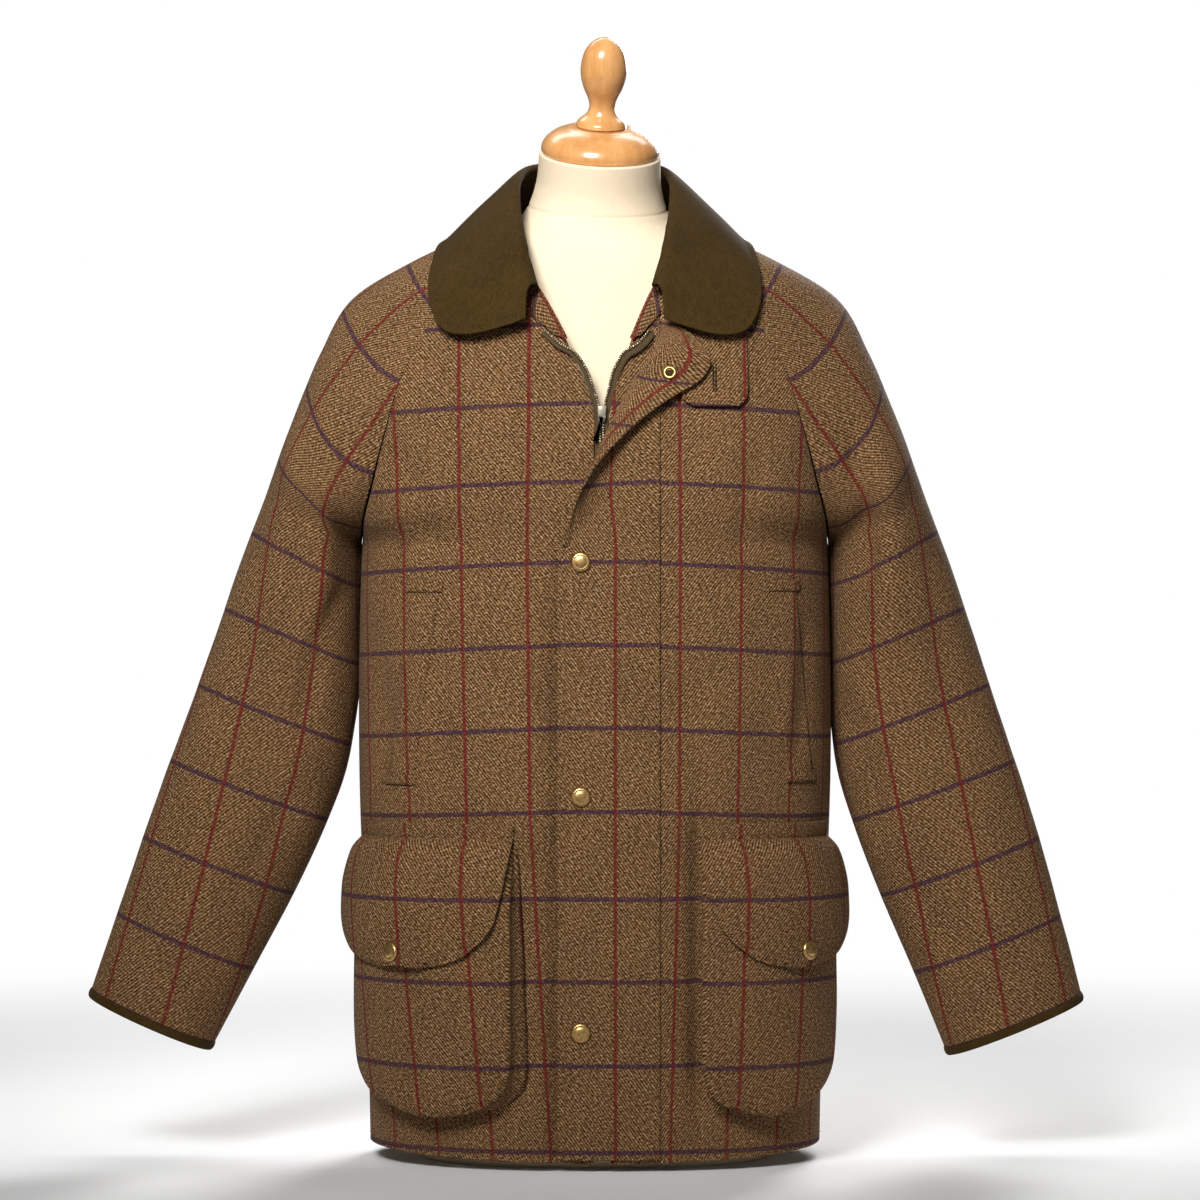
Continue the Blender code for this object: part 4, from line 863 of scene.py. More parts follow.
# sleeves: folds as on the body, the same ones weaker and shifted on the hidden half
sleeveCloth = {
    "step": 0.0044, "across": 0.058, "along": 0.070, "fromEnd": 0.0065, "drift": 0.0007,
    "behind": 0.75, "lower": 0.035, "touch": 0.0016, "width": 0.31, "seamStitch": 0.0065,
    "ridgeAway": [(0.0, 0.040), (3.9, 0.019), (6.6, 0.010), (8.0, 0.020), (13.0, 0.030)],
    right: [
        fold(-0.0055, 0.012, [(-0.241, 0.640), (-0.2514, 0.542), (-0.2626, 0.430)]),
        fold(0.0034, 0.010, [(-0.2239, 0.600), (-0.2325, 0.516), (-0.2410, 0.430)]),
        fold(-0.0048, 0.009, [(-0.2060, 0.510), (-0.2385, 0.448), (-0.2560, 0.350)]),
        fold(-0.0026, 0.010, [(-0.2867, 0.560), (-0.2927, 0.482), (-0.3090, 0.395)]),
        fold(-0.0034, 0.010, [(-0.2480, 0.335), (-0.2867, 0.267), (-0.3200, 0.210)]),
        fold(0.0014, 0.012, [(-0.3300, 0.330), (-0.3530, 0.250), (-0.3700, 0.190)]),
    ],
    left: [
        fold(-0.0060, 0.011, [(0.2120, 0.640), (0.2333, 0.542), (0.2247, 0.430)]),
        fold(0.0034, 0.010, [(0.2330, 0.650), (0.2566, 0.534), (0.2523, 0.420)]),
        fold(-0.0038, 0.010, [(0.2070, 0.410), (0.2368, 0.344), (0.2480, 0.250)]),
        fold(-0.0026, 0.010, [(0.2840, 0.560), (0.2970, 0.450), (0.3060, 0.360)]),
        fold(0.0014, 0.012, [(0.3250, 0.330), (0.3480, 0.250), (0.3620, 0.180)]),
        fold(-0.0030, 0.010, [(0.2620, 0.250), (0.2960, 0.200), (0.3300, 0.170)]),
    ],
}


def sleeveEnds(u, v):  # kept just clear of the raglan seams
    return lerp(0.0012, 0.9988, u) if v > ring else u


def sleeveLean(side, u, v):
    n = normalAt(lambda a, b: sleevePoint(side, a, b), u, v, (0, 1), (0, neck), side)
    middle = (sleevePoint(side, 0, v) + sleevePoint(side, 0.5, v)) / 2
    return n if n.dot(sleevePoint(side, u, v) - middle) > 0 or v > ring + 2 else -n


def makeSleeve(side):
    look = sleeveCloth
    start = sleeve["bindingRows"] - 0.012  # runs in under the binding
    rows = evenRows(lambda v: sleevePoint(side, 0.5, v), start, neck, look["step"], keep=(ring,))

    def place(u, v):
        u = sleeveEnds(u, v)
        p = sleevePoint(side, u, v)
        n = sleeveLean(side, u, v)
        fade = ease(u / 0.10) * ease((1 - u) / 0.10) * ease((v - start) / 0.7) * ease((neck - v) / 1.5)
        share, low = (1.0, 0.0) if u <= 0.5 else (look["behind"], look["lower"])
        relief = foldDepth(look[side], p.x, p.z + low) * share * ease(abs(u - 0.5) / 0.08)
        relief = (relief + drift(p, look["drift"])) * fade
        touch = ease((0.14 - min(u, 1 - u)) / 0.14) * ease((v - 4.3) / 0.8) * ease((ring + 0.2 - v) / 0.5)
        p = p - Vector((side * look["touch"] * touch, 0, 0))  # rests against the body below the armpit
        if v > ring:
            away = min(u, 1 - u) * 0.30
            relief += (seamDent(away) + groove(away, look["seamStitch"])) * ease((v - ring) / 0.4)
        return p + n * relief

    def chart(u, v, p):
        u = sleeveEnds(u, v)
        key = ("sleeve", side, round(v, 6))
        arc = arcTo(key, lambda t: sleevePoint(side, t, v), u, 0, 1)
        ridge = arcTo(key, None, 0.5, 0, 1)
        away, = tableAt(look["ridgeAway"], v)
        length = arcTo(("ridge", side), lambda t: sleevePoint(side, 0.5, t), v, 0, neck)
        return Vector(((ridge - arc - away) / look["across"], (length - look["fromEnd"]) / look["along"]))

    def outward(p):
        middle = side * lerp(0.39, 0.20, clamp((p.z - 0.10) / 0.5))
        return Vector((p.x - middle, p.y - 0.005, 0.3 * (p.z - 0.6)))

    bm = clothMesh(spaced(look["width"], look["step"]), rows, place, chart, outward, closed=True)
    name = "sleeve_" + sideName[side]
    addPiece(name, bm, finish["tweed"], [name], thick["tweed"])


def makeBinding(side):
    rows = spread(0, sleeve["bindingRows"] - 0.004, 8)

    def place(u, v):
        t = v / rows[-1]
        bulge = gap + 0.0011 * math.sin(math.pi * clamp(t)) ** 0.7
        ends = (u,) if 0 < u < 1 else (0, 1)
        lean = sum((sleeveLean(side, end, max(v, 0.02)) for end in ends), Vector()).normalized()
        return sleevePoint(side, u, v) + lean * bulge

    def outward(p):
        return Vector((p.x - side * 0.37, p.y + 0.004, 0))

    bm = clothMesh(spread(0, 1, 72), rows, place, lambda u, v, p: Vector((u * 5, v)), outward, closed=True)
    name = "cuff_binding_" + sideName[side]
    addPiece(name, bm, finish["moleskin"], [name], thick["moleskin"])


for side in (right, left):
    makeSleeve(side)
    makeBinding(side)
print("sleeves done")


def sheetMesh(grid, charts, hint):
    return clothMesh(range(len(grid[0])), range(len(grid)), lambda i, j: grid[j][i],
                     lambda i, j, p: charts[j][i], hint)


def moved(grid, normals, amount):
    return [[p + n * amount for p, n in zip(row, lean)] for row, lean in zip(grid, normals)]


def toFront(p):
    return Vector((0, -1, 0.15))


def addSheet(name, grid, charts, shell, nodes=None):  # tweed that lies on another piece
    addPiece(name, sheetMesh(grid, charts, toFront), finish["tweed"],
             [name] if nodes is None else nodes, shell, outward=True)


# beside the open neck, from a place on the front edge: the facing's free edge and the zip chain's inner edge
turn = namedtuple("turn", "place out drop lift")
facing = [
    turn(4.25, 0.0008, 0.0015, 0.0022), turn(4.42, 0.0020, 0.0055, 0.0042),
    turn(4.60, 0.0035, 0.0110, 0.0055), turn(5.00, 0.0025, 0.0205, 0.0065),
    turn(5.50, 0.0050, 0.0260, 0.0072),
]
zipParts = {
    "chain": [
        turn(3.05, -0.0058, 0.0000, -0.0003), turn(3.35, -0.0058, 0.0000, -0.0003),
        turn(3.65, -0.0068, 0.0000, 0.0014), turn(4.00, -0.0038, 0.0010, 0.0046),
        turn(4.30, 0.0034, 0.0062, 0.0070), turn(4.60, 0.0046, 0.0126, 0.0080),
        turn(5.00, 0.0034, 0.0222, 0.0088),
    ],
    "bottom": 0.030, "closed": 0.638, "shown": 0.520, "width": {right: 0.0052, left: 0.0076},
    "toothPitch": 0.0021, "tooth": (0.0024, 0.0013, 0.0017), "toothSeat": (0.0010, 0.0006),
    "slider": Vector((0.0085, 0.0040, 0.0140)), "sliderFoot": 0.72, "cheek": (0.0011, 0.0030, 0.0032),
    "cheekX": 0.00265, "pullLength": 0.0210, "pullWidth": 0.0034, "pullThick": 0.0012, "pullWaist": 0.72,
    "pullLean": math.radians(16), "pullEye": 0.0005, "hingeOut": 0.0014, "hingeDrop": 0.0030,
}


def turnedOut(side, rows, k):
    r = smooth(rows, k)
    roll = frontPoint(side, 0, pit + r.place)
    return roll, roll + Vector((side * r.out, -r.lift, -r.drop))


def makeFacing(side):
    grid, charts = [], []
    for k in spread(0, len(facing) - 1, 30):
        roll, free = turnedOut(side, facing, k)
        start = roll - Vector((0, 3 * gap, 0))
        wide, ts = (free - start).length, spread(0, 1, 8)
        grid.append([start.lerp(free, t) - Vector((0, 8 * gap * t * (1 - t), 0)) for t in ts])
        charts.append([Vector((t * wide / 0.060 - 0.06, start.z / check["above"])) for t in ts])
    addSheet("facing_" + sideName[side], grid, charts, thick["tape"])


def chainLine(side):  # pairs of inner and outer points up the chain, the closed stretch first
    pairs = []
    for z in spread(zipParts["bottom"], zipParts["closed"], 60):
        y = plainY(zipX + side * (edgeFromZip + 0.0004), z) + gap
        outer = zipX + side * (edgeFromZip - 2 * gap)
        pairs.append((Vector((zipX + side * gap, y, z)), Vector((outer, y, z))))
    rows = zipParts["chain"]
    line = [turnedOut(side, rows, k)[1] for k in spread(0, len(rows) - 1, 48)]
    for i, start in enumerate(line):
        run = line[min(i + 1, len(line) - 1)] - line[max(i - 1, 0)]
        across = Vector((run.z, 0, -run.x)).normalized() * side
        pairs.append((start, start + across * zipParts["width"][side]))
    return pairs


def blockAt(bm, place, size, bevel):
    made = bmesh.ops.create_cube(bm, size=1.0, matrix=place @ Matrix.Diagonal((*size, 1)))
    edges = list({e for v in made["verts"] for e in v.link_edges})
    bmesh.ops.bevel(bm, geom=edges, offset=bevel, segments=1, profile=0.5, material=-1, affect="EDGES")


def makeZip(side):
    pairs = chainLine(side)
    grid = [[a.lerp(b, t) for t in spread(0, 1, 4)] for a, b in pairs]
    name = "zip_" + sideName[side]
    charts = [[Vector((0, 0))] * 5] * len(grid)
    addPiece(name, sheetMesh(grid, charts, toFront), finish["tape"], [name], thick["tape"])
    # teeth, half a step apart on the two sides
    teeth = bmesh.new()
    seatIn, seatOut = zipParts["toothSeat"]
    done, due = 0.0, 0.0 if side == right else zipParts["toothPitch"] / 2
    for (a, b), (c, d) in zip(pairs, pairs[1:]):
        length = (c - a).length
        while due <= done + length:
            t = (due - done) / length
            inner, outer = a.lerp(c, t), b.lerp(d, t)
            if inner.z > zipParts["shown"]:
                across = (outer - inner).normalized()
                along = (c - a).normalized()
                face = along.cross(across).normalized()
                if face.y > 0:
                    face = -face
                place = axesAt(inner + across * seatIn + face * seatOut, across, along, face)
                blockAt(teeth, place, zipParts["tooth"], 0.0003)
            due += zipParts["toothPitch"]
        done += length
    addPiece("zip_teeth_" + sideName[side], teeth, finish["zipTeeth"])


def makeSlider():
    size = zipParts["slider"]
    z = frontPoint(right, 0, pit + 3.0).z - size.z * 0.5
    front = plainY(zipX, z)
    middle = Vector((zipX, front - gap - size.y * 0.5, z))
    bm = bmesh.new()
    place = Matrix.Translation(middle) @ Matrix.Diagonal((*size, 1))
    made = bmesh.ops.create_cube(bm, size=1.0, matrix=place)
    for vert in made["verts"]:  # shouldered at the top, narrow at the bottom
        if vert.co.z < z:
            vert.co.x = zipX + (vert.co.x - zipX) * zipParts["sliderFoot"]
    bmesh.ops.bevel(bm, geom=bm.edges[:], offset=0.0011, segments=3, profile=0.5, material=-1, affect="EDGES")
    hinge = Vector((zipX, front - size.y - zipParts["hingeOut"], z - zipParts["hingeDrop"]))
    hang = Matrix.Translation(hinge) @ Matrix.Rotation(zipParts["pullLean"], 4, "Y")
    for side in (right, left):  # cheeks that hold the pull
        seat = hang @ Matrix.Translation((side * zipParts["cheekX"], 0.0006, 0))
        blockAt(bm, seat, zipParts["cheek"], 0.0004)
    addPiece("zip_slider", bm, finish["nickel"], ["zip_slider"])
    makePull(hang)


def makePull(hang):  # an open eye at the hinge, a waist, and a wide foot
    bm = bmesh.new()
    length, width, waist = zipParts["pullLength"], zipParts["pullWidth"], zipParts["pullWaist"]
    place = hang @ Matrix.Translation((0, 0, -length * 0.5 + zipParts["pullEye"]))
    bmesh.ops.create_grid(bm, x_segments=2, y_segments=8, size=0.5)
    inner = [f for f in bm.faces if 0.12 < f.calc_center_median().y < 0.36]
    bmesh.ops.inset_region(bm, faces=inner, thickness=0.10)
    bmesh.ops.delete(bm, geom=[f for f in inner if f.is_valid], context="FACES")
    for vert in bm.verts:
        wide = lerp(1.0, waist, ease((vert.co.y + 0.5) / 0.4)) + 0.20 * ease((vert.co.y - 0.3) / 0.2)
        vert.co = Vector((vert.co.x * width * wide, 0, vert.co.y * length))
    bmesh.ops.solidify(bm, geom=bm.faces[:], thickness=zipParts["pullThick"])
    middleY = sum(v.co.y for v in bm.verts) / len(bm.verts)
    bmesh.ops.translate(bm, verts=bm.verts[:], vec=(0, -middleY, 0))
    bmesh.ops.recalc_face_normals(bm, faces=bm.faces[:])
    sharp = [e for e in bm.edges if len(e.link_faces) == 2 and e.calc_face_angle(0) > 0.6]
    bmesh.ops.bevel(bm, geom=sharp, offset=0.0003, segments=2, profile=0.5, material=-1, affect="EDGES")
    bmesh.ops.transform(bm, matrix=place, verts=bm.verts[:])
    addPiece("zip_pull", bm, finish["nickel"], ["zip_pull"], rides="zip_pull")


for side in (right, left):
    makeFacing(side)
    makeZip(side)
makeSlider()
print("facings and zip done")


# collar stations from the front end to the centre back
collarRow = namedtuple("collarRow", "place stand foldX foldY foldZ edgeX edgeY edgeZ")
collar = {
    "stations": [
        collarRow(0.00, 0.0, 0.0516, -0.1210, 0.7480, 0.0580, -0.1290, 0.7195),
        collarRow(0.02, 0.0, 0.0555, -0.1130, 0.7605, 0.0745, -0.1290, 0.7130),
        collarRow(0.05, 0.4, 0.0595, -0.1020, 0.7745, 0.1060, -0.1260, 0.7055),
        collarRow(0.11, 1.0, 0.0625, -0.0870, 0.7910, 0.1295, -0.1170, 0.7110),
        collarRow(0.20, 1.0, 0.0650, -0.0670, 0.8070, 0.1405, -0.0990, 0.7370),
        collarRow(0.32, 1.0, 0.0670, -0.0420, 0.8260, 0.1385, -0.0650, 0.7680),
        collarRow(0.45, 1.0, 0.0665, -0.0120, 0.8450, 0.1265, -0.0050, 0.7930),
        collarRow(0.62, 1.0, 0.0580, 0.0280, 0.8600, 0.1020, 0.0620, 0.7980),
        collarRow(0.82, 1.0, 0.0330, 0.0620, 0.8660, 0.0560, 0.1100, 0.7930),
        collarRow(1.00, 1.0, 0.0000, 0.0720, 0.8675, 0.0000, 0.1220, 0.7900),
    ],
    "foldAt": 0.35, "foldRound": 0.009, "swell": 0.005, "clear": 0.0024, "edgeStitch": 0.007,
}


def neckLine():
    line = [frontPoint(right, u, top) for u in spread(0, 1, 8)]
    line += [sleevePoint(right, u, neck) for u in spread(0, 1, 16)[1:]]
    return line + [backPoint(u, top) for u in spread(-1, 0, 12)[1:]]


def along(line, place):
    lengths = [(b - a).length for a, b in zip(line, line[1:])]
    rest = place * sum(lengths)
    for a, b, length in zip(line, line[1:], lengths):
        if rest <= length:
            return a.lerp(b, rest / length)
        rest -= length
    return line[-1].copy()


def collarPoint(line, u, v):  # u: right end at -1 to left end at 1, v: neck seam, over the fold, to the edge
    r = smooth(collar["stations"], (1 - abs(u)) * (len(collar["stations"]) - 1))
    crease = Vector((-r.foldX, r.foldY, r.foldZ))
    edge = Vector((-r.edgeX, r.edgeY, r.edgeZ))
    sewn = along(line, clamp(r.place)) + Vector((0, 0, 3 * gap))
    seam = (crease + Vector((-0.001, 0.003, -0.003))).lerp(sewn, clamp(r.stand))
    outward = edge - crease
    outward.z = 0
    outward.normalize()
    bend, foldAt = outward * collar["foldRound"], collar["foldAt"]
    if v < foldAt:
        rise = Vector((0, 0, (crease.z - seam.z) * 0.5))
        p = bezier(seam, seam + rise, crease - bend * 0.6, crease, v / foldAt)
    else:
        swell = Vector((outward.x, outward.y, 1)).normalized() * collar["swell"]
        p = bezier(crease, crease + bend, crease.lerp(edge, 0.6) + swell, edge, (v - foldAt) / (1 - foldAt))
    return p if u <= 0 else Vector((-p.x, p.y, p.z))


def makeCollar():
    line = neckLine()
    cols = spread(-1, 1, 150)
    foldAt = collar["foldAt"]
    rows = spread(0, foldAt, 12) + spread(foldAt, 0.93, 18)[1:] + [0.945, 0.96, 0.975, 0.985, 0.993, 1.0]
    grid = [[collarPoint(line, u, v) for u in cols] for v in rows]
    below = [skins[name][0] for name in ("front_right", "front_left", "sleeve_right", "sleeve_left", "back")]
    lifts = [[0.0] * len(cols) for _ in rows]
    leans = [[Vector((0, 0, 1))] * len(cols) for _ in rows]
    for j, v in enumerate(rows):
        if v <= 0.36:
            continue
        for i, p in enumerate(grid[j]):
            for tree in below:
                hit, lean, _, far = tree.find_nearest(p)
                needed = collar["clear"] - (p - hit).dot(lean)
                if far < 0.03 and needed > lifts[j][i]:
                    lifts[j][i], leans[j][i] = needed, lean
    for _ in range(6):  # blurred, but never below what is needed
        lifts = [[max(lifts[j][i], 0.25 * (lifts[max(j - 1, 0)][i] + lifts[min(j + 1, len(rows) - 1)][i]
                                           + lifts[j][max(i - 1, 0)] + lifts[j][min(i + 1, len(cols) - 1)]))
                  for i in range(len(cols))] for j in range(len(rows))]
    normals = gridNormals(grid, 1)
    for j in range(len(rows)):
        for i in range(len(cols)):
            lean = leans[j][i] if leans[j][i].z < 0.999 else normals[j][i]
            uneven = drift(grid[j][i], 0.0007) * ease((rows[j] - 0.38) / 0.2)
            grid[j][i] = grid[j][i] + lean * lifts[j][i] + normals[j][i] * uneven
    normals = gridNormals(grid, 1)
    for j, v in enumerate(rows):  # the dent of the edge stitching
        for i in range(len(cols)):
            away = (grid[-1][i] - grid[j][i]).length
            grid[j][i] = grid[j][i] + normals[j][i] * groove(away, collar["edgeStitch"]) * (v > 0.6)

    def hint(p):
        return Vector((p.x, p.y, 0.2)) if p.z < 0.80 else Vector((p.x * 0.2, p.y * 0.2, 0.6))

    charts = [[Vector((u * 4, v * 2)) for u in cols] for v in rows]
    addPiece("collar", sheetMesh(grid, charts, hint), finish["moleskin"], ["collar"],
             thick["moleskin"], outward=True)
    return grid


collarGrid = makeCollar()
print("collar done")


# storm fly: sewn at one x all the way up, its free edge turned back towards the top
flyRow = namedtuple("flyRow", "z edgeX edgeZ lift turn reach edgeReach")
stormFly = {
    "rows": [
        flyRow(0.010, -0.0310, 0.010, 0.0000, 0, 0.028, 0.028),
        flyRow(0.250, -0.0310, 0.250, 0.0000, 0, 0.028, 0.028),
        flyRow(0.495, -0.0310, 0.495, 0.0000, 0, 0.028, 0.028),
        flyRow(0.535, -0.0270, 0.532, 0.0040, 25, 0.030, 0.028),
        flyRow(0.575, -0.0150, 0.570, 0.0180, 75, 0.036, 0.020),
        flyRow(0.605, 0.0020, 0.598, 0.0220, 125, 0.036, 0.025),
        flyRow(0.635, 0.0285, 0.625, 0.0160, 165, 0.038, 0.035),
        flyRow(0.660, 0.0590, 0.649, 0.0110, 178, 0.040, 0.046),
        flyRow(0.682, 0.0885, 0.667, 0.0085, 180, 0.030, 0.058),
        flyRow(0.698, 0.0975, 0.683, 0.0080, 180, 0.014, 0.050),
        flyRow(0.710, 0.0880, 0.700, 0.0078, 180, 0.005, 0.030),
        flyRow(0.720, 0.0710, 0.716, 0.0075, 180, 0.002, 0.009),
    ],
    "sewnX": 0.055, "width": 0.086, "inner": 0.0010, "outer": 0.0011, "rollFrom": 2.6,
    "sewnRows": (0.0012, 0.0095), "edgeRow": 0.0795, "redAt": 0.0378, "redPitch": 0.0548,
    "redIn": 0.0115, "redInPitch": 0.060, "blueAt": 0.677, "bluePitch": 0.064,
}


def flyPoint(u, v):  # u: sewn edge to free edge, v: row of the table
    r = smooth(stormFly["rows"], v)
    sewn = Vector((stormFly["sewnX"], plainY(stormFly["sewnX"], r.z) - 3 * gap, r.z))
    free = Vector((r.edgeX, plainY(r.edgeX, r.edgeZ) - 3 * gap - max(r.lift, 0), r.edgeZ))
    angle = math.radians(clamp(r.turn, 0, 180))
    heading = Vector((-math.cos(angle), -math.sin(angle), 0))
    first = sewn - Vector((r.reach, 0, (sewn.z - free.z) * 0.33))
    second = free - heading * r.edgeReach + Vector((0, 0, (sewn.z - free.z) * 0.33))
    return bezier(sewn, first, second, free, u)


def makeFly():
    look = stormFly
    last = len(look["rows"]) - 1
    rows = evenRows(lambda v: flyPoint(0, v), 0, look["rollFrom"], 0.0045)[:-1]
    rows += evenRows(lambda v: flyPoint(1, v), look["rollFrom"], last, 0.0030)
    us = spaced(look["width"], 0.0036, (*look["sewnRows"][1:], look["edgeRow"]))
    grid = []
    for v in rows:
        row = []
        for u in us:
            p = flyPoint(u, v)
            under = min(plainY(p.x, p.z), panelAt(left if p.x > zipX else right, p.x, p.z)[0].y)
            p.y = min(p.y, under - 3 * gap)
            row.append(p)
        grid.append(row)
    normals = gridNormals(grid, -1)
    for j, row in enumerate(grid):
        for i, u in enumerate(us):
            dent = sum(groove(u * look["width"], m) for m in (*look["sewnRows"], look["edgeRow"]))
            uneven = drift(row[i], 0.0005) * ease(u / 0.3)
            row[i] = row[i] + normals[j][i] * (dent + max(uneven, -0.0003))
    heights = [smooth(look["rows"], v).z for v in rows]
    walk = walked([row[-1] for row in grid])  # the turned-back side is checked by its free edge
    start = walk[nearest(heights, look["blueAt"])]
    inside = [((1 - u) * look["width"] - look["redIn"]) / look["redInPitch"] for u in us]
    outside = [(u * look["width"] - look["redAt"]) / look["redPitch"] for u in us]
    charts = [[Vector((x, (length - start) / look["bluePitch"])) for x in inside] for length in walk]
    addSheet("storm_fly_facing", grid, charts, look["inner"], ())
    charts = [[Vector((x, heightCount(0, z))) for x in outside] for z in heights]
    addSheet("storm_fly", moved(grid, normals, look["inner"] + 0.00012), charts, look["outer"])
    return grid, us, rows


flyGrid, flyUs, flyVs = makeFly()
print("storm fly done")


# pieces laid on a front: for each height the edge near the zip, the outer edge, and how far both stand off it
patch = namedtuple("patch", "z near far nearOff farOff")
tab = [
    patch(0.725, 0.0735, 0.1260, laid, laid), patch(0.690, 0.0718, 0.1284, laid, laid),
    patch(0.659, 0.0720, 0.1284, 0.0026, 0.0026), patch(0.650, 0.0750, 0.1262, 0.0030, 0.0030),
    patch(0.645, 0.0830, 0.1205, 0.0030, 0.0030),
]
tabStitch = 0.0048
welt = {
    "shell": 0.0007, "off": 0.0002, "endLength": 0.0085,
    right: [patch(0.4965, 0.1310, 0.1563, laid, laid), patch(0.3257, 0.1546, 0.1766, laid, laid)],
    left: [patch(0.4975, 0.1479, 0.1707, laid, laid), patch(0.3280, 0.1639, 0.1859, laid, laid)],
}
pocket = {
    "flap": [
        patch(0.2930, 0.0682, 0.1955, 0.0012, 0.0012), patch(0.2805, 0.0684, 0.1960, 0.0018, 0.0018),
        patch(0.2680, 0.0690, 0.1965, 0.0135, 0.0120), patch(0.2460, 0.0716, 0.1970, 0.0240, 0.0185),
        patch(0.2266, 0.0752, 0.1970, 0.0280, 0.0205), patch(0.2080, 0.0800, 0.1965, 0.0290, 0.0210),
        patch(0.1930, 0.0915, 0.1925, 0.0290, 0.0215), patch(0.1804, 0.1078, 0.1835, 0.0290, 0.0225),
        patch(0.1737, 0.1340, 0.1640, 0.0290, 0.0250),
    ],
    "bag": [
        patch(0.2720, 0.0700, 0.1900, 0.0045, 0.0035), patch(0.2300, 0.0695, 0.1900, 0.0200, 0.0145),
        patch(0.1880, 0.0690, 0.1900, 0.0215, 0.0160), patch(0.1290, 0.0690, 0.1900, 0.0215, 0.0165),
        patch(0.0914, 0.0695, 0.1880, 0.0210, 0.0165), patch(0.0738, 0.0730, 0.1825, 0.0205, 0.0165),
        patch(0.0630, 0.0810, 0.1740, 0.0200, 0.0170), patch(0.0535, 0.0970, 0.1600, 0.0190, 0.0175),
        patch(0.0486, 0.1160, 0.1440, 0.0180, 0.0180),
    ],
    "shift": {right: 0.0, left: 0.0185}, "swell": 0.0050, "pleat": {right: 0.0040, left: 0.0010},
    "gussetNear": {right: 0.0150, left: -0.0100}, "gussetFar": 0.0020, "gussetDrop": -0.0030,
    "gussetOff": 0.0008, "gussetSteps": 7, "edgeStitch": 0.0075, "bagStitch": 0.0019, "bagWidth": 0.118,
    "bandStitch": (0.2905, 0.2835), "bandRise": 0.0014, "bandFoot": 0.2800, "bandDent": 0.0024,
}


def patchPoint(key, side, rows, place, f, shift=0.0, swell=0.0):
    r = smooth(rows, place)
    p, n, flat = panelAt(key, side * lerp(r.near + shift, r.far, f), r.z)
    off = lerp(r.nearOff, r.farOff, f) + swell * math.sin(math.pi * f)
    return p + n * max(off, gap), flat


def patchGrid(key, side, rows, step, shift=0.0, swell=0.0):
    wide = rows[len(rows) // 2]
    places = evenRows(lambda k: patchPoint(key, side, rows, k, 0.5, shift, swell)[0], 0, len(rows) - 1, step)
    cols = spaced(wide.far - wide.near - shift, step)
    made = [[patchPoint(key, side, rows, k, f, shift, swell) for f in cols] for k in places]
    return [[p for p, _ in row] for row in made], [[flat for _, flat in row] for row in made]


def edgeAway(grid, j, i):  # distance of a grid point from the sides and the bottom of a patch
    p = grid[j][i]
    sides = min((p - grid[j][0]).length, (p - grid[j][-1]).length)
    return min(sides, min((p - q).length for q in grid[-1]))


def dentEdge(grid, normals, mark, extra=()):
    made = []
    for j, row in enumerate(grid):
        line = []
        for i, p in enumerate(row):
            depth = groove(edgeAway(grid, j, i), mark) + sum(groove(p.z, z) for z in extra)
            line.append(p + normals[j][i] * (depth + max(drift(p, 0.0005), -0.0003)))
        made.append(line)
    return made


def makeTab():
    grid, charts = patchGrid(left, left, tab, 0.0024)
    grid = dentEdge(grid, gridNormals(grid, -left), tabStitch)
    addSheet("throat_tab", grid, charts, thick["tweed"])
    return grid


def makeWelt(side):
    grid, charts = patchGrid(side, side, welt[side], 0.0030)
    normals = gridNormals(grid, -side)
    grid = moved(grid, normals, welt["off"] - laid)
    name = "welt_" + sideName[side]
    addSheet(name, grid, charts, welt["shell"])
    # a boxed end at the top and at the bottom
    rows = welt[side]
    span = welt["endLength"] / (rows[0].z - rows[1].z)
    for label, start in (("top", -0.1 * span), ("bottom", 1 - 0.9 * span)):
        ks = spread(start, start + span, 7)
        made = [[patchPoint(side, side, rows, k, f) for f in spread(-0.12, 1.12, 16)] for k in ks]
        grid = [[p for p, _ in row] for row in made]
        normals = gridNormals(grid, -side)
        for j, row in enumerate(grid):
            for i in range(len(row)):
                puff = (math.sin(math.pi * j / 7) * math.sin(math.pi * i / 16)) ** 0.5
                row[i] = row[i] + normals[j][i] * (welt["shell"] - 0.0002 + 0.0008 * puff)
        addSheet(name + "_end_" + label, grid, [[f for _, f in row] for row in made], welt["shell"], ())


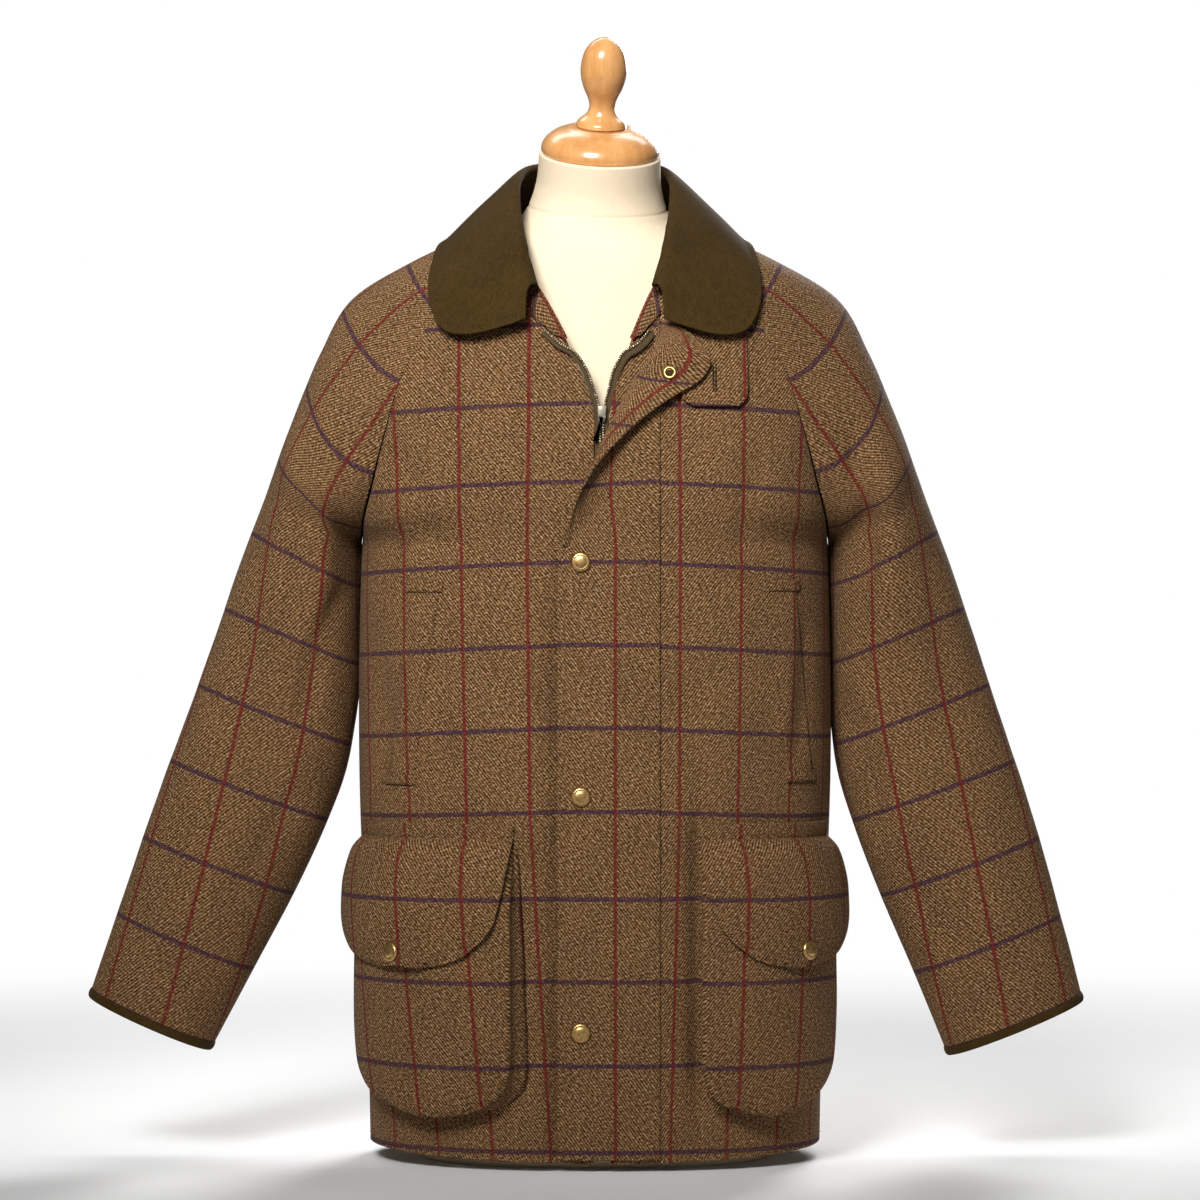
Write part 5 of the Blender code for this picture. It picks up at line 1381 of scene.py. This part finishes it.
def makeBag(side):
    look = pocket
    key, shift, rows = flatOf(side), look["shift"][side], look["bag"]
    count = len(rows) - 1

    def facePoint(k, f):
        return patchPoint(key, side, rows, k, f, shift, look["swell"])

    places = evenRows(lambda k: facePoint(k, 0.5)[0], 0, count, 0.0038)
    cols = spaced(look["bagWidth"] - shift, 0.0040)
    steps = spread(0, 1, look["gussetSteps"])
    grid, charts = [], []

    def gusset(outer, inner, innerFlat, pull, way):  # from the panel up to the face, with a soft pleat
        line, flats = [], []
        for t in steps[:-1]:
            line.append(outer.lerp(inner, t) + pull * look["pleat"][side] * math.sin(math.pi * t))
            flats.append(innerFlat + Vector((way * (1 - t) * (inner - outer).length / 0.056, 0)))
        return line, flats

    for k in places:
        share = k / count
        r = smooth(rows, k)
        low = look["gussetDrop"] * share ** 4
        face = [facePoint(k, f) for f in cols]
        nearX = r.near + shift - look["gussetNear"][side] * min(1, 0.3 + share)
        near, nearLean, _ = panelAt(key, side * nearX, r.z - low)
        far, farLean, _ = panelAt(key, side * (r.far + look["gussetFar"]), r.z - low)
        inward = Vector((side, 0, 0))
        a, af = gusset(near + nearLean * look["gussetOff"], face[0][0], face[0][1], inward, -1)
        b, bf = gusset(far + farLean * look["gussetOff"], face[-1][0], face[-1][1], -inward, 1)
        grid.append(a + [p for p, _ in face] + b[::-1])
        charts.append(af + [f for _, f in face] + bf[::-1])
    r = rows[-1]
    across = len(grid[0]) - 1
    base = []
    for i in range(across + 1):
        x = lerp(r.near + shift - look["gussetNear"][side], r.far + look["gussetFar"], i / across)
        p, n, _ = panelAt(key, side * x, r.z - 1.5 * look["gussetDrop"])
        base.append(p + n * look["gussetOff"])
    last, lastFlat = grid[-1], charts[-1]
    for t in steps[1:]:
        rise = Vector((0, 0, 0.0015 * math.sin(math.pi * t)))
        grid.append([a.lerp(b, t) + rise for a, b in zip(last, base)])
        charts.append([f - Vector((0, t * (b - a).length / 0.070)) for f, a, b in zip(lastFlat, last, base)])
    normals = gridNormals(grid, -side)
    for j, row in enumerate(grid):
        for i, p in enumerate(row):
            row[i] = p + normals[j][i] * max(drift(p, 0.0008), -0.0004) * (6 < i < across - 6)
    addSheet("pocket_bag_" + sideName[side], grid, charts, thick["tweed"])
    return grid


def makeFlap(side):
    grid, charts = patchGrid(flatOf(side), side, pocket["flap"], 0.0019,
                             pocket["shift"][side], pocket["swell"])
    leans = gridNormals(grid, -side)
    grid = dentEdge(grid, leans, pocket["edgeStitch"], pocket["bandStitch"])
    for row, lean in zip(grid, leans):  # the band that the flap is sewn on by
        for i, p in enumerate(row):
            above = (p.z - pocket["bandFoot"]) / 0.0016
            relief = pocket["bandRise"] * ease(above) - pocket["bandDent"] * math.exp(-above ** 2)
            row[i] = p + lean[i] * relief
    addSheet("pocket_flap_" + sideName[side], grid, charts, thick["tweed"])
    return grid


tabGrid = makeTab()
flapGrids, bagGrids = {}, {}
for side in (right, left):
    makeWelt(side)
    bagGrids[side] = makeBag(side)
    flapGrids[side] = makeFlap(side)
print("pockets, welts and tab done")


# snaps: plain domed caps with one ring, and an open ring on the turned-back fly
snap = {
    "radius": 0.0085, "height": 0.0036, "seat": 0.0007, "flyX": -0.0118, "flyZ": (0.5140, 0.3163, 0.1178),
    "flap": {right: (6.55, 0.60), left: (6.45, 0.60)}, "socketAt": (8.20, 0.80),
    "cap": [(0.02, 1.00), (0.30, 0.985), (0.52, 0.93), (0.60, 0.80), (0.66, 0.81), (0.78, 0.86),
            (0.90, 0.70), (0.985, 0.42), (1.00, 0.22), (0.97, 0.05), (0.90, 0.00), (0.02, 0.00)],
    "ring": [(0.0025, 0.0000), (0.0059, 0.0000), (0.0060, 0.0006), (0.0053, 0.0015),
             (0.0042, 0.0016), (0.0034, 0.0013), (0.0026, 0.0005)],
    "hole": [(0.0001, 0.0), (0.0027, 0.0), (0.0027, 0.0004), (0.0001, 0.0005)],
}


def spun(points, steps, place, loop=False):
    bm = bmesh.new()
    verts = [bm.verts.new((r, 0, h)) for r, h in points]
    edges = [bm.edges.new(pair) for pair in zip(verts, verts[1:])]
    if loop:
        edges.append(bm.edges.new((verts[-1], verts[0])))
    bmesh.ops.spin(bm, geom=verts + edges, cent=(0, 0, 0), axis=(0, 0, 1), angle=2 * math.pi, steps=steps,
                   use_merge=True, use_duplicate=False)
    bmesh.ops.remove_doubles(bm, verts=bm.verts[:], dist=1e-6)
    bmesh.ops.holes_fill(bm, edges=[e for e in bm.edges if e.is_boundary], sides=0)
    bmesh.ops.recalc_face_normals(bm, faces=bm.faces[:])
    bmesh.ops.transform(bm, matrix=place, verts=bm.verts[:])
    return bm


def facingFrame(point, normal):
    return Matrix.Translation(point) @ Vector((0, 0, 1)).rotation_difference(normal).to_matrix().to_4x4()


def makeSnap(name, point, normal):
    outline = [(r * snap["radius"], h * snap["height"]) for r, h in snap["cap"]]
    bm = spun(outline, 32, facingFrame(point + normal * snap["seat"] * 0.5, normal))
    addPiece(name, bm, finish["brass"], [name])


def seatOn(surface, a, b):
    across = surface(a, b + 0.02) - surface(a, b - 0.02)
    upward = surface(a + 0.02, b) - surface(a - 0.02, b)
    return surface(a, b), across.cross(upward).normalized()


for i, z in enumerate(snap["flyZ"]):
    y = plainY(snap["flyX"], z) - 3 * gap - thick["tweed"]
    makeSnap("snap_fly_%d" % (i + 1), Vector((snap["flyX"], y, z)), Vector((0, -1, 0)))
for side in (right, left):
    point, normal = seatOn(lambda a, b: patchPoint(flatOf(side), side, pocket["flap"], a, b,
                                                   pocket["shift"][side], pocket["swell"])[0],
                           *snap["flap"][side])
    makeSnap("snap_flap_" + sideName[side], point - normal * side * thick["tweed"], -normal * side)
point, normal = seatOn(lambda a, b: flyPoint(b, a), *snap["socketAt"])
addPiece("snap_socket", spun(snap["ring"], 28, facingFrame(point + normal * snap["seat"], normal), loop=True),
         finish["brass"], ["snap_socket"])
# a dark disc in the socket's open centre: painted shade of the hollow inside the snap
addPiece("snap_socket_hole_painted_shade", spun(snap["hole"], 20, facingFrame(point + normal * 0.0005, normal)),
         finish["darkThreadAndShade"])
print("snaps done")


# dress form: padded torso and neck, then a turned cap and finial on the leaning neck
formRow = namedtuple("formRow", "z halfWidth front back tilt")
form = {
    "rows": [
        formRow(0.000, 0.1500, -0.0980, 0.1000, 0.0), formRow(0.030, 0.1600, -0.1040, 0.1040, 0.0),
        formRow(0.200, 0.1700, -0.1080, 0.1040, 0.0), formRow(0.350, 0.1620, -0.1030, 0.0960, 0.0),
        formRow(0.500, 0.1740, -0.1080, 0.1040, 0.0), formRow(0.600, 0.1800, -0.1060, 0.1080, 0.0),
        formRow(0.660, 0.1850, -0.1000, 0.1060, 0.0), formRow(0.705, 0.1850, -0.0910, 0.1000, 0.0),
        formRow(0.735, 0.1790, -0.0840, 0.0940, 0.0), formRow(0.7645, 0.1650, -0.0780, 0.0880, 0.0),
        formRow(0.7835, 0.1340, -0.0720, 0.0800, 0.0), formRow(0.7990, 0.0930, -0.0650, 0.0680, 0.2),
        formRow(0.815, 0.0660, -0.0600, 0.0560, 0.6), formRow(0.840, 0.0550, -0.0610, 0.0450, 0.9),
        formRow(0.868, 0.0525, -0.0705, 0.0345, 1.0),
    ],
    "square": 2.3, "neckX": 0.0044, "neckStart": 0.762, "tilt": math.radians(18), "roll": math.radians(2.6),
    "seam": 12.35, "seamDepth": 0.0007,
}
turnery = {
    "neck_cap": [(0.0480, 0.0000), (0.0500, 0.0000), (0.0512, 0.0030), (0.0505, 0.0075), (0.0470, 0.0130),
                 (0.0400, 0.0185), (0.0310, 0.0220), (0.0240, 0.0235), (0.0020, 0.0236)],
    "finial": [(0.0020, 0.0238), (0.0200, 0.0238), (0.0215, 0.0265), (0.0195, 0.0300), (0.0140, 0.0345),
               (0.0112, 0.0410), (0.0125, 0.0485), (0.0168, 0.0580), (0.0197, 0.0690), (0.0195, 0.0800),
               (0.0165, 0.0905), (0.0105, 0.0980), (0.0040, 0.1015), (0.0005, 0.1018)],
}
turnRow = namedtuple("turnRow", "radius height")


def formPoint(a, place):
    r = smooth(form["rows"], place)
    angle = 2 * math.pi * a
    c, s = math.cos(angle), math.sin(angle)
    power = lerp(2 / form["square"], 1, clamp(r.tilt))
    shrink = 1 - form["seamDepth"] / 0.055 * math.exp(-((place - form["seam"]) / 0.05) ** 2)
    x = math.copysign(abs(c) ** power, c) * r.halfWidth * shrink
    y = math.copysign(abs(s) ** power, s) * (r.back - r.front) / 2 * shrink
    z = max(r.z, 0) + (y * math.tan(form["tilt"]) - x * math.tan(form["roll"])) * max(r.tilt, 0)
    shift = form["neckX"] * clamp((r.z - form["neckStart"]) / (form["rows"][-1].z - form["neckStart"]))
    return Vector((x + shift, y + (r.front + r.back) / 2, z))


def makeForm():
    places = spread(0, 11, 60) + spread(11, 14, 66)[1:]
    bm = clothMesh(spread(0, 1, 96), places, formPoint, lambda a, v, p: Vector((a, v)), fromAxis, closed=True)
    bmesh.ops.holes_fill(bm, edges=[e for e in bm.edges if e.is_boundary], sides=0)
    addPiece("form_body", bm, finish["cover"], ["form_body"])
    last = form["rows"][-1]
    seat = Vector((form["neckX"], (last.front + last.back) / 2, last.z))
    lean = Matrix.Rotation(form["roll"], 4, "Y") @ Matrix.Rotation(form["tilt"], 4, "X")
    place = Matrix.Translation(seat) @ lean @ Matrix.Translation((0, 0, 2 * gap))
    for node, profile in turnery.items():
        rows = [turnRow(*r) for r in profile]
        outline = [smooth(rows, k) for k in spread(0, len(rows) - 1, 6 * len(rows))]
        bm = spun([(max(r.radius, 0.0003), r.height) for r in outline], 72, place)
        addPiece(node, bm, finish["beech"], [node])


makeForm()
print("form done")


# sewing: short capsules of thread laid along each row
stitch = {
    "length": 0.0031, "gap": 0.0015, "radius": 0.00042, "proud": 0.0001, "hemRow": 0.12,
    "buttonhole": (0.1008, 0.6570, 0.6800), "whip": (0.0010, 0.0006, 0.0005), "whipAway": 0.0011,
}


def threadAt(bm, point, run, normal, size):
    place = axesAt(point, run, normal.cross(run), normal) @ Matrix.Diagonal((*size, 1))
    bmesh.ops.create_icosphere(bm, subdivisions=1, radius=1.0, matrix=place)


def sew(bm, name, path, behind=False):
    tree, outer = skins[name]
    size = (stitch["length"] / 2, stitch["radius"], stitch["radius"] * 0.8)
    off = -stitch["proud"] if behind else outer + stitch["proud"]
    done, due = 0.0, stitch["gap"]
    for a, b in zip(path, path[1:]):
        reach = (b - a).length
        while reach > 1e-7 and due <= done + reach:
            hit, n, _, far = tree.find_nearest(a.lerp(b, (due - done) / reach))
            run = (b - a).normalized()
            if far < 0.02:
                threadAt(bm, hit + n * off, (run - n * run.dot(n)).normalized(), n, size)
            due += stitch["length"] + stitch["gap"]
        done += reach


def insetLine(edge, middle, inset):
    line = []
    for i, p in enumerate(edge):
        run = (edge[min(i + 2, len(edge) - 1)] - edge[max(i - 2, 0)]).normalized()
        inward = middle - p
        q = p + (inward - run * inward.dot(run)).normalized() * inset
        if min((q - e).length for e in edge) > inset * 0.93:
            line.append(q)
    return line


def sewEdge(bm, name, grid, inset):  # down one side, along the bottom and up the other side
    outline = [row[0] for row in grid] + grid[-1][1:-1] + [row[-1] for row in grid[::-1]]
    sew(bm, name, insetLine(outline, grid[len(grid) // 2][len(grid[0]) // 2], inset))


def stitchBody():
    bm = bmesh.new()
    for side in (right, left):
        for u in (0.022, 0.978):
            sew(bm, "sleeve_" + sideName[side],
                [sleevePoint(side, u, v) for v in spread(ring + 0.25, neck - 0.05, 90)])
        name = "front_" + sideName[side]
        sew(bm, name, [frontPoint(side, u, stitch["hemRow"]) for u in spread(0, 1, 60)])
        sew(bm, name, [frontPoint(side, 0.045, v) for v in spread(pit + 2.9, top - 0.4, 60)])
    sew(bm, "back", [backPoint(u, stitch["hemRow"]) for u in spread(-1, 1, 120)])
    addPiece("stitching_body", bm, finish["thread"])


def stitchFly():
    bm = bmesh.new()
    places = [u * stormFly["width"] for u in flyUs]
    for mark in stormFly["sewnRows"]:
        i = nearest(places, mark + 0.0004)
        sew(bm, "storm_fly", [row[i] for row in flyGrid])
    i = nearest(places, stormFly["edgeRow"])
    split = next(j for j, v in enumerate(flyVs) if v > 4.6)
    sew(bm, "storm_fly", [row[i] for row in flyGrid[:split]])
    sew(bm, "storm_fly_facing", [row[i] for row in flyGrid[split:]], behind=True)
    addPiece("stitching_fly", bm, finish["thread"])


def stitchPockets():
    bm = bmesh.new()
    for side in (right, left):
        flap, bag = flapGrids[side], bagGrids[side]
        name = "pocket_flap_" + sideName[side]
        sewEdge(bm, name, flap, pocket["edgeStitch"])
        for z in pocket["bandStitch"]:
            sew(bm, name, min(flap, key=lambda line: abs(line[len(line) // 2].z - z)))
        steps = pocket["gussetSteps"]
        face = [row[steps - 1:1 - steps] for row in bag[:-steps]]
        sewEdge(bm, "pocket_bag_" + sideName[side], face, pocket["bagStitch"])
        name, rows = "welt_" + sideName[side], welt[side]
        for f in (0.07, 0.93):
            sew(bm, name, [patchPoint(side, side, rows, k, f)[0] for k in spread(0.06, 0.94, 40)])
        for label, ks in (("top", (0.006, 0.042)), ("bottom", (0.994, 0.958))):
            for k in ks:
                sew(bm, name + "_end_" + label,
                    [patchPoint(side, side, rows, k, f)[0] for f in spread(-0.08, 1.08, 12)])
    sewEdge(bm, "throat_tab", tabGrid, tabStitch)
    addPiece("stitching_pockets", bm, finish["thread"])


def stitchCollar():
    bm = bmesh.new()
    path = []
    for i in range(4, len(collarGrid[0]) - 4):
        line = [row[i] for row in collarGrid[::-1]]
        path.append(along(line, collar["edgeStitch"] / walked(line)[-1]))
    sew(bm, "collar", path)
    addPiece("stitching_collar", bm, finish["darkThreadAndShade"])


def makeButtonhole():  # a whipped slot down the throat tab
    bm = bmesh.new()
    x, low, high = stitch["buttonhole"]
    tree, outer = skins["throat_tab"]
    for z in spread(low, high, 24):
        hit, n, _, _ = tree.find_nearest(panelAt(left, x, z)[0])
        across = (Vector((1, 0, 0)) - n * n.x).normalized()
        for side in (right, left):
            point = hit + n * (outer + stitch["proud"]) + across * side * stitch["whipAway"]
            threadAt(bm, point, across, n, stitch["whip"])
    addPiece("buttonhole", bm, finish["darkThreadAndShade"])


stitchBody()
stitchFly()
stitchPockets()
stitchCollar()
makeButtonhole()
print("sewing done")


# what each sheet of cloth was cut to: flat width and length, how it is held, what carries it, flat area
sheets = {
    "front_right": ((0.275, 0.770), "hung", ["form_body"], 0.185),
    "front_left": ((0.270, 0.770), "hung", ["form_body"], 0.178),
    "back": ((0.580, 0.805), "hung", ["form_body"], 0.368),
    "sleeve_right": ((0.460, 0.810), "hung", ["front_right", "back"], 0.266),
    "sleeve_left": ((0.460, 0.810), "hung", ["front_left", "back"], 0.268),
    "cuff_binding_right": ((0.0105, 0.265), "folded", ["sleeve_right"], None),
    "cuff_binding_left": ((0.0105, 0.272), "folded", ["sleeve_left"], None),
    "collar": ((0.160, 0.520), "folded", ["back", "front_right", "front_left"], 0.0746),
    "facing_right": ((0.0110, 0.055), "folded", ["front_right"], None),
    "facing_left": ((0.0105, 0.050), "folded", ["front_left"], None),
    "zip_right": ((0.0100, 0.715), "laid", ["front_right"], 0.0039),
    "zip_left": ((0.0100, 0.715), "laid", ["front_left"], 0.0041),
    "storm_fly": ((0.087, 0.712), "hung", ["front_left"], 0.0580),
    "storm_fly_facing": ((0.087, 0.712), "hung", ["front_left"], 0.0583),
    "throat_tab": ((0.057, 0.076), "laid", ["front_left"], 0.0042),
    "welt_right": ((0.030, 0.176), "laid", ["front_right"], None),
    "welt_left": ((0.031, 0.176), "laid", ["front_left"], None),
    "welt_right_end_top": ((0.0103, 0.031), "laid", ["welt_right"], None),
    "welt_right_end_bottom": ((0.0103, 0.034), "laid", ["welt_right"], None),
    "welt_left_end_top": ((0.0103, 0.031), "laid", ["welt_left"], None),
    "welt_left_end_bottom": ((0.0103, 0.035), "laid", ["welt_left"], None),
    "pocket_bag_right": ((0.190, 0.262), "folded", ["front_right"], 0.0480),
    "pocket_bag_left": ((0.172, 0.262), "folded", ["front_left"], 0.0430),
    "pocket_flap_right": ((0.150, 0.158), "hung", ["front_right"], 0.0222),
    "pocket_flap_left": ((0.133, 0.158), "hung", ["front_left"], 0.0198),
}
for name, (flat, held, rests, area) in sheets.items():
    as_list(rests)
print("sheets declared:", len(sheets))


# pale floor that fades into white, soft light from all round, and a level camera
studio = {
    "paper": [(0.3, (0.86, 0.86, 0.86)), (0.7, (0.89, 0.89, 0.89))], "floor": 2.3, "fade": (0.06, 0.64),
    "key": 8.8, "fill": 3.2, "top": 1.2, "back": 40, "rear": 10, "ambient": 0.11, "white": 1.0,
    "camera": (0.0044, -4.0, 0.482), "lens": 137.9,
}


def makeFloor():
    bm = bmesh.new()
    bmesh.ops.create_circle(bm, cap_ends=True, segments=96, radius=studio["floor"])
    bmesh.ops.translate(bm, verts=bm.verts[:], vec=(0, 0, -0.0005))
    mesh = bpy.data.meshes.new("floor")
    bm.to_mesh(mesh)
    bm.free()
    made, tree, shader = newMaterial("paper", Roughness=0.9, Specular_IOR_Level=0.1)
    place = tree.nodes.new("ShaderNodeTexCoord")
    tone = ramp(tree, noiseOf(tree, place.outputs["Object"], 1.5), studio["paper"])
    tree.links.new(tone, shader.inputs["Base Color"])
    inward = tree.nodes.new("ShaderNodeTexGradient")
    inward.gradient_type = "SPHERICAL"
    near = stretched(tree, place.outputs["Object"], (1 / studio["floor"],) * 3)
    tree.links.new(near, inward.inputs["Vector"])
    tree.links.new(between(tree, inward.outputs["Fac"], *studio["fade"]), shader.inputs["Alpha"])
    mesh.materials.append(made)
    floor = bpy.data.objects.new("floor", mesh)
    bpy.context.scene.collection.objects.link(floor)


def makeWorld():  # dim light from all round, and plain white behind
    world = bpy.data.worlds.new("studio")
    bpy.context.scene.world = world
    world.use_nodes = True
    tree = world.node_tree
    ambient = tree.nodes["Background"]
    white = tree.nodes.new("ShaderNodeBackground")
    seen = tree.nodes.new("ShaderNodeLightPath")
    either = tree.nodes.new("ShaderNodeMixShader")
    for node, strength in ((ambient, studio["ambient"]), (white, studio["white"])):
        node.inputs["Color"].default_value = (1.0, 1.0, 1.0, 1.0)
        node.inputs["Strength"].default_value = strength
    tree.links.new(seen.outputs["Is Camera Ray"], either.inputs[0])
    tree.links.new(ambient.outputs[0], either.inputs[1])
    tree.links.new(white.outputs[0], either.inputs[2])
    tree.links.new(either.outputs[0], tree.nodes["World Output"].inputs["Surface"])


def softLight(name, place, aim, size, power, cone=180):
    light = bpy.data.lights.new(name, "AREA")
    light.shape = "RECTANGLE"
    light.size, light.size_y = size
    light.energy = power
    light.spread = math.radians(cone)
    made = bpy.data.objects.new(name, light)
    made.location = place
    made.rotation_euler = (Vector(aim) - Vector(place)).to_track_quat("-Z", "Y").to_euler()
    bpy.context.scene.collection.objects.link(made)


makeFloor()
softLight("key", (-0.65, -2.4, 1.95), (-0.02, 0, 0.73), (1.0, 1.0), studio["key"], 42)
softLight("fill", (2.2, -3.0, 0.9), (0, 0, 0.45), (1.6, 1.6), studio["fill"])
softLight("top", (0.0, 0.1, 2.8), (0, 0, 0.4), (1.6, 1.6), studio["top"])
softLight("back", (0.0, 1.2, 2.6), (0, 1.9, 0), (3.0, 0.8), studio["back"])
softLight("rear", (0.9, 2.8, 1.8), (0, 0, 0.55), (1.2, 1.2), studio["rear"], 48)
makeWorld()
bpy.context.scene.view_settings.view_transform = "Standard"

lens = bpy.data.cameras.new("camera")
lens.lens = studio["lens"]
lens.sensor_width = 36.0
camera = bpy.data.objects.new("camera", lens)
camera.location = studio["camera"]
camera.rotation_euler = (math.pi / 2, 0, 0)
bpy.context.scene.collection.objects.link(camera)
bpy.context.scene.camera = camera
print("stage done")
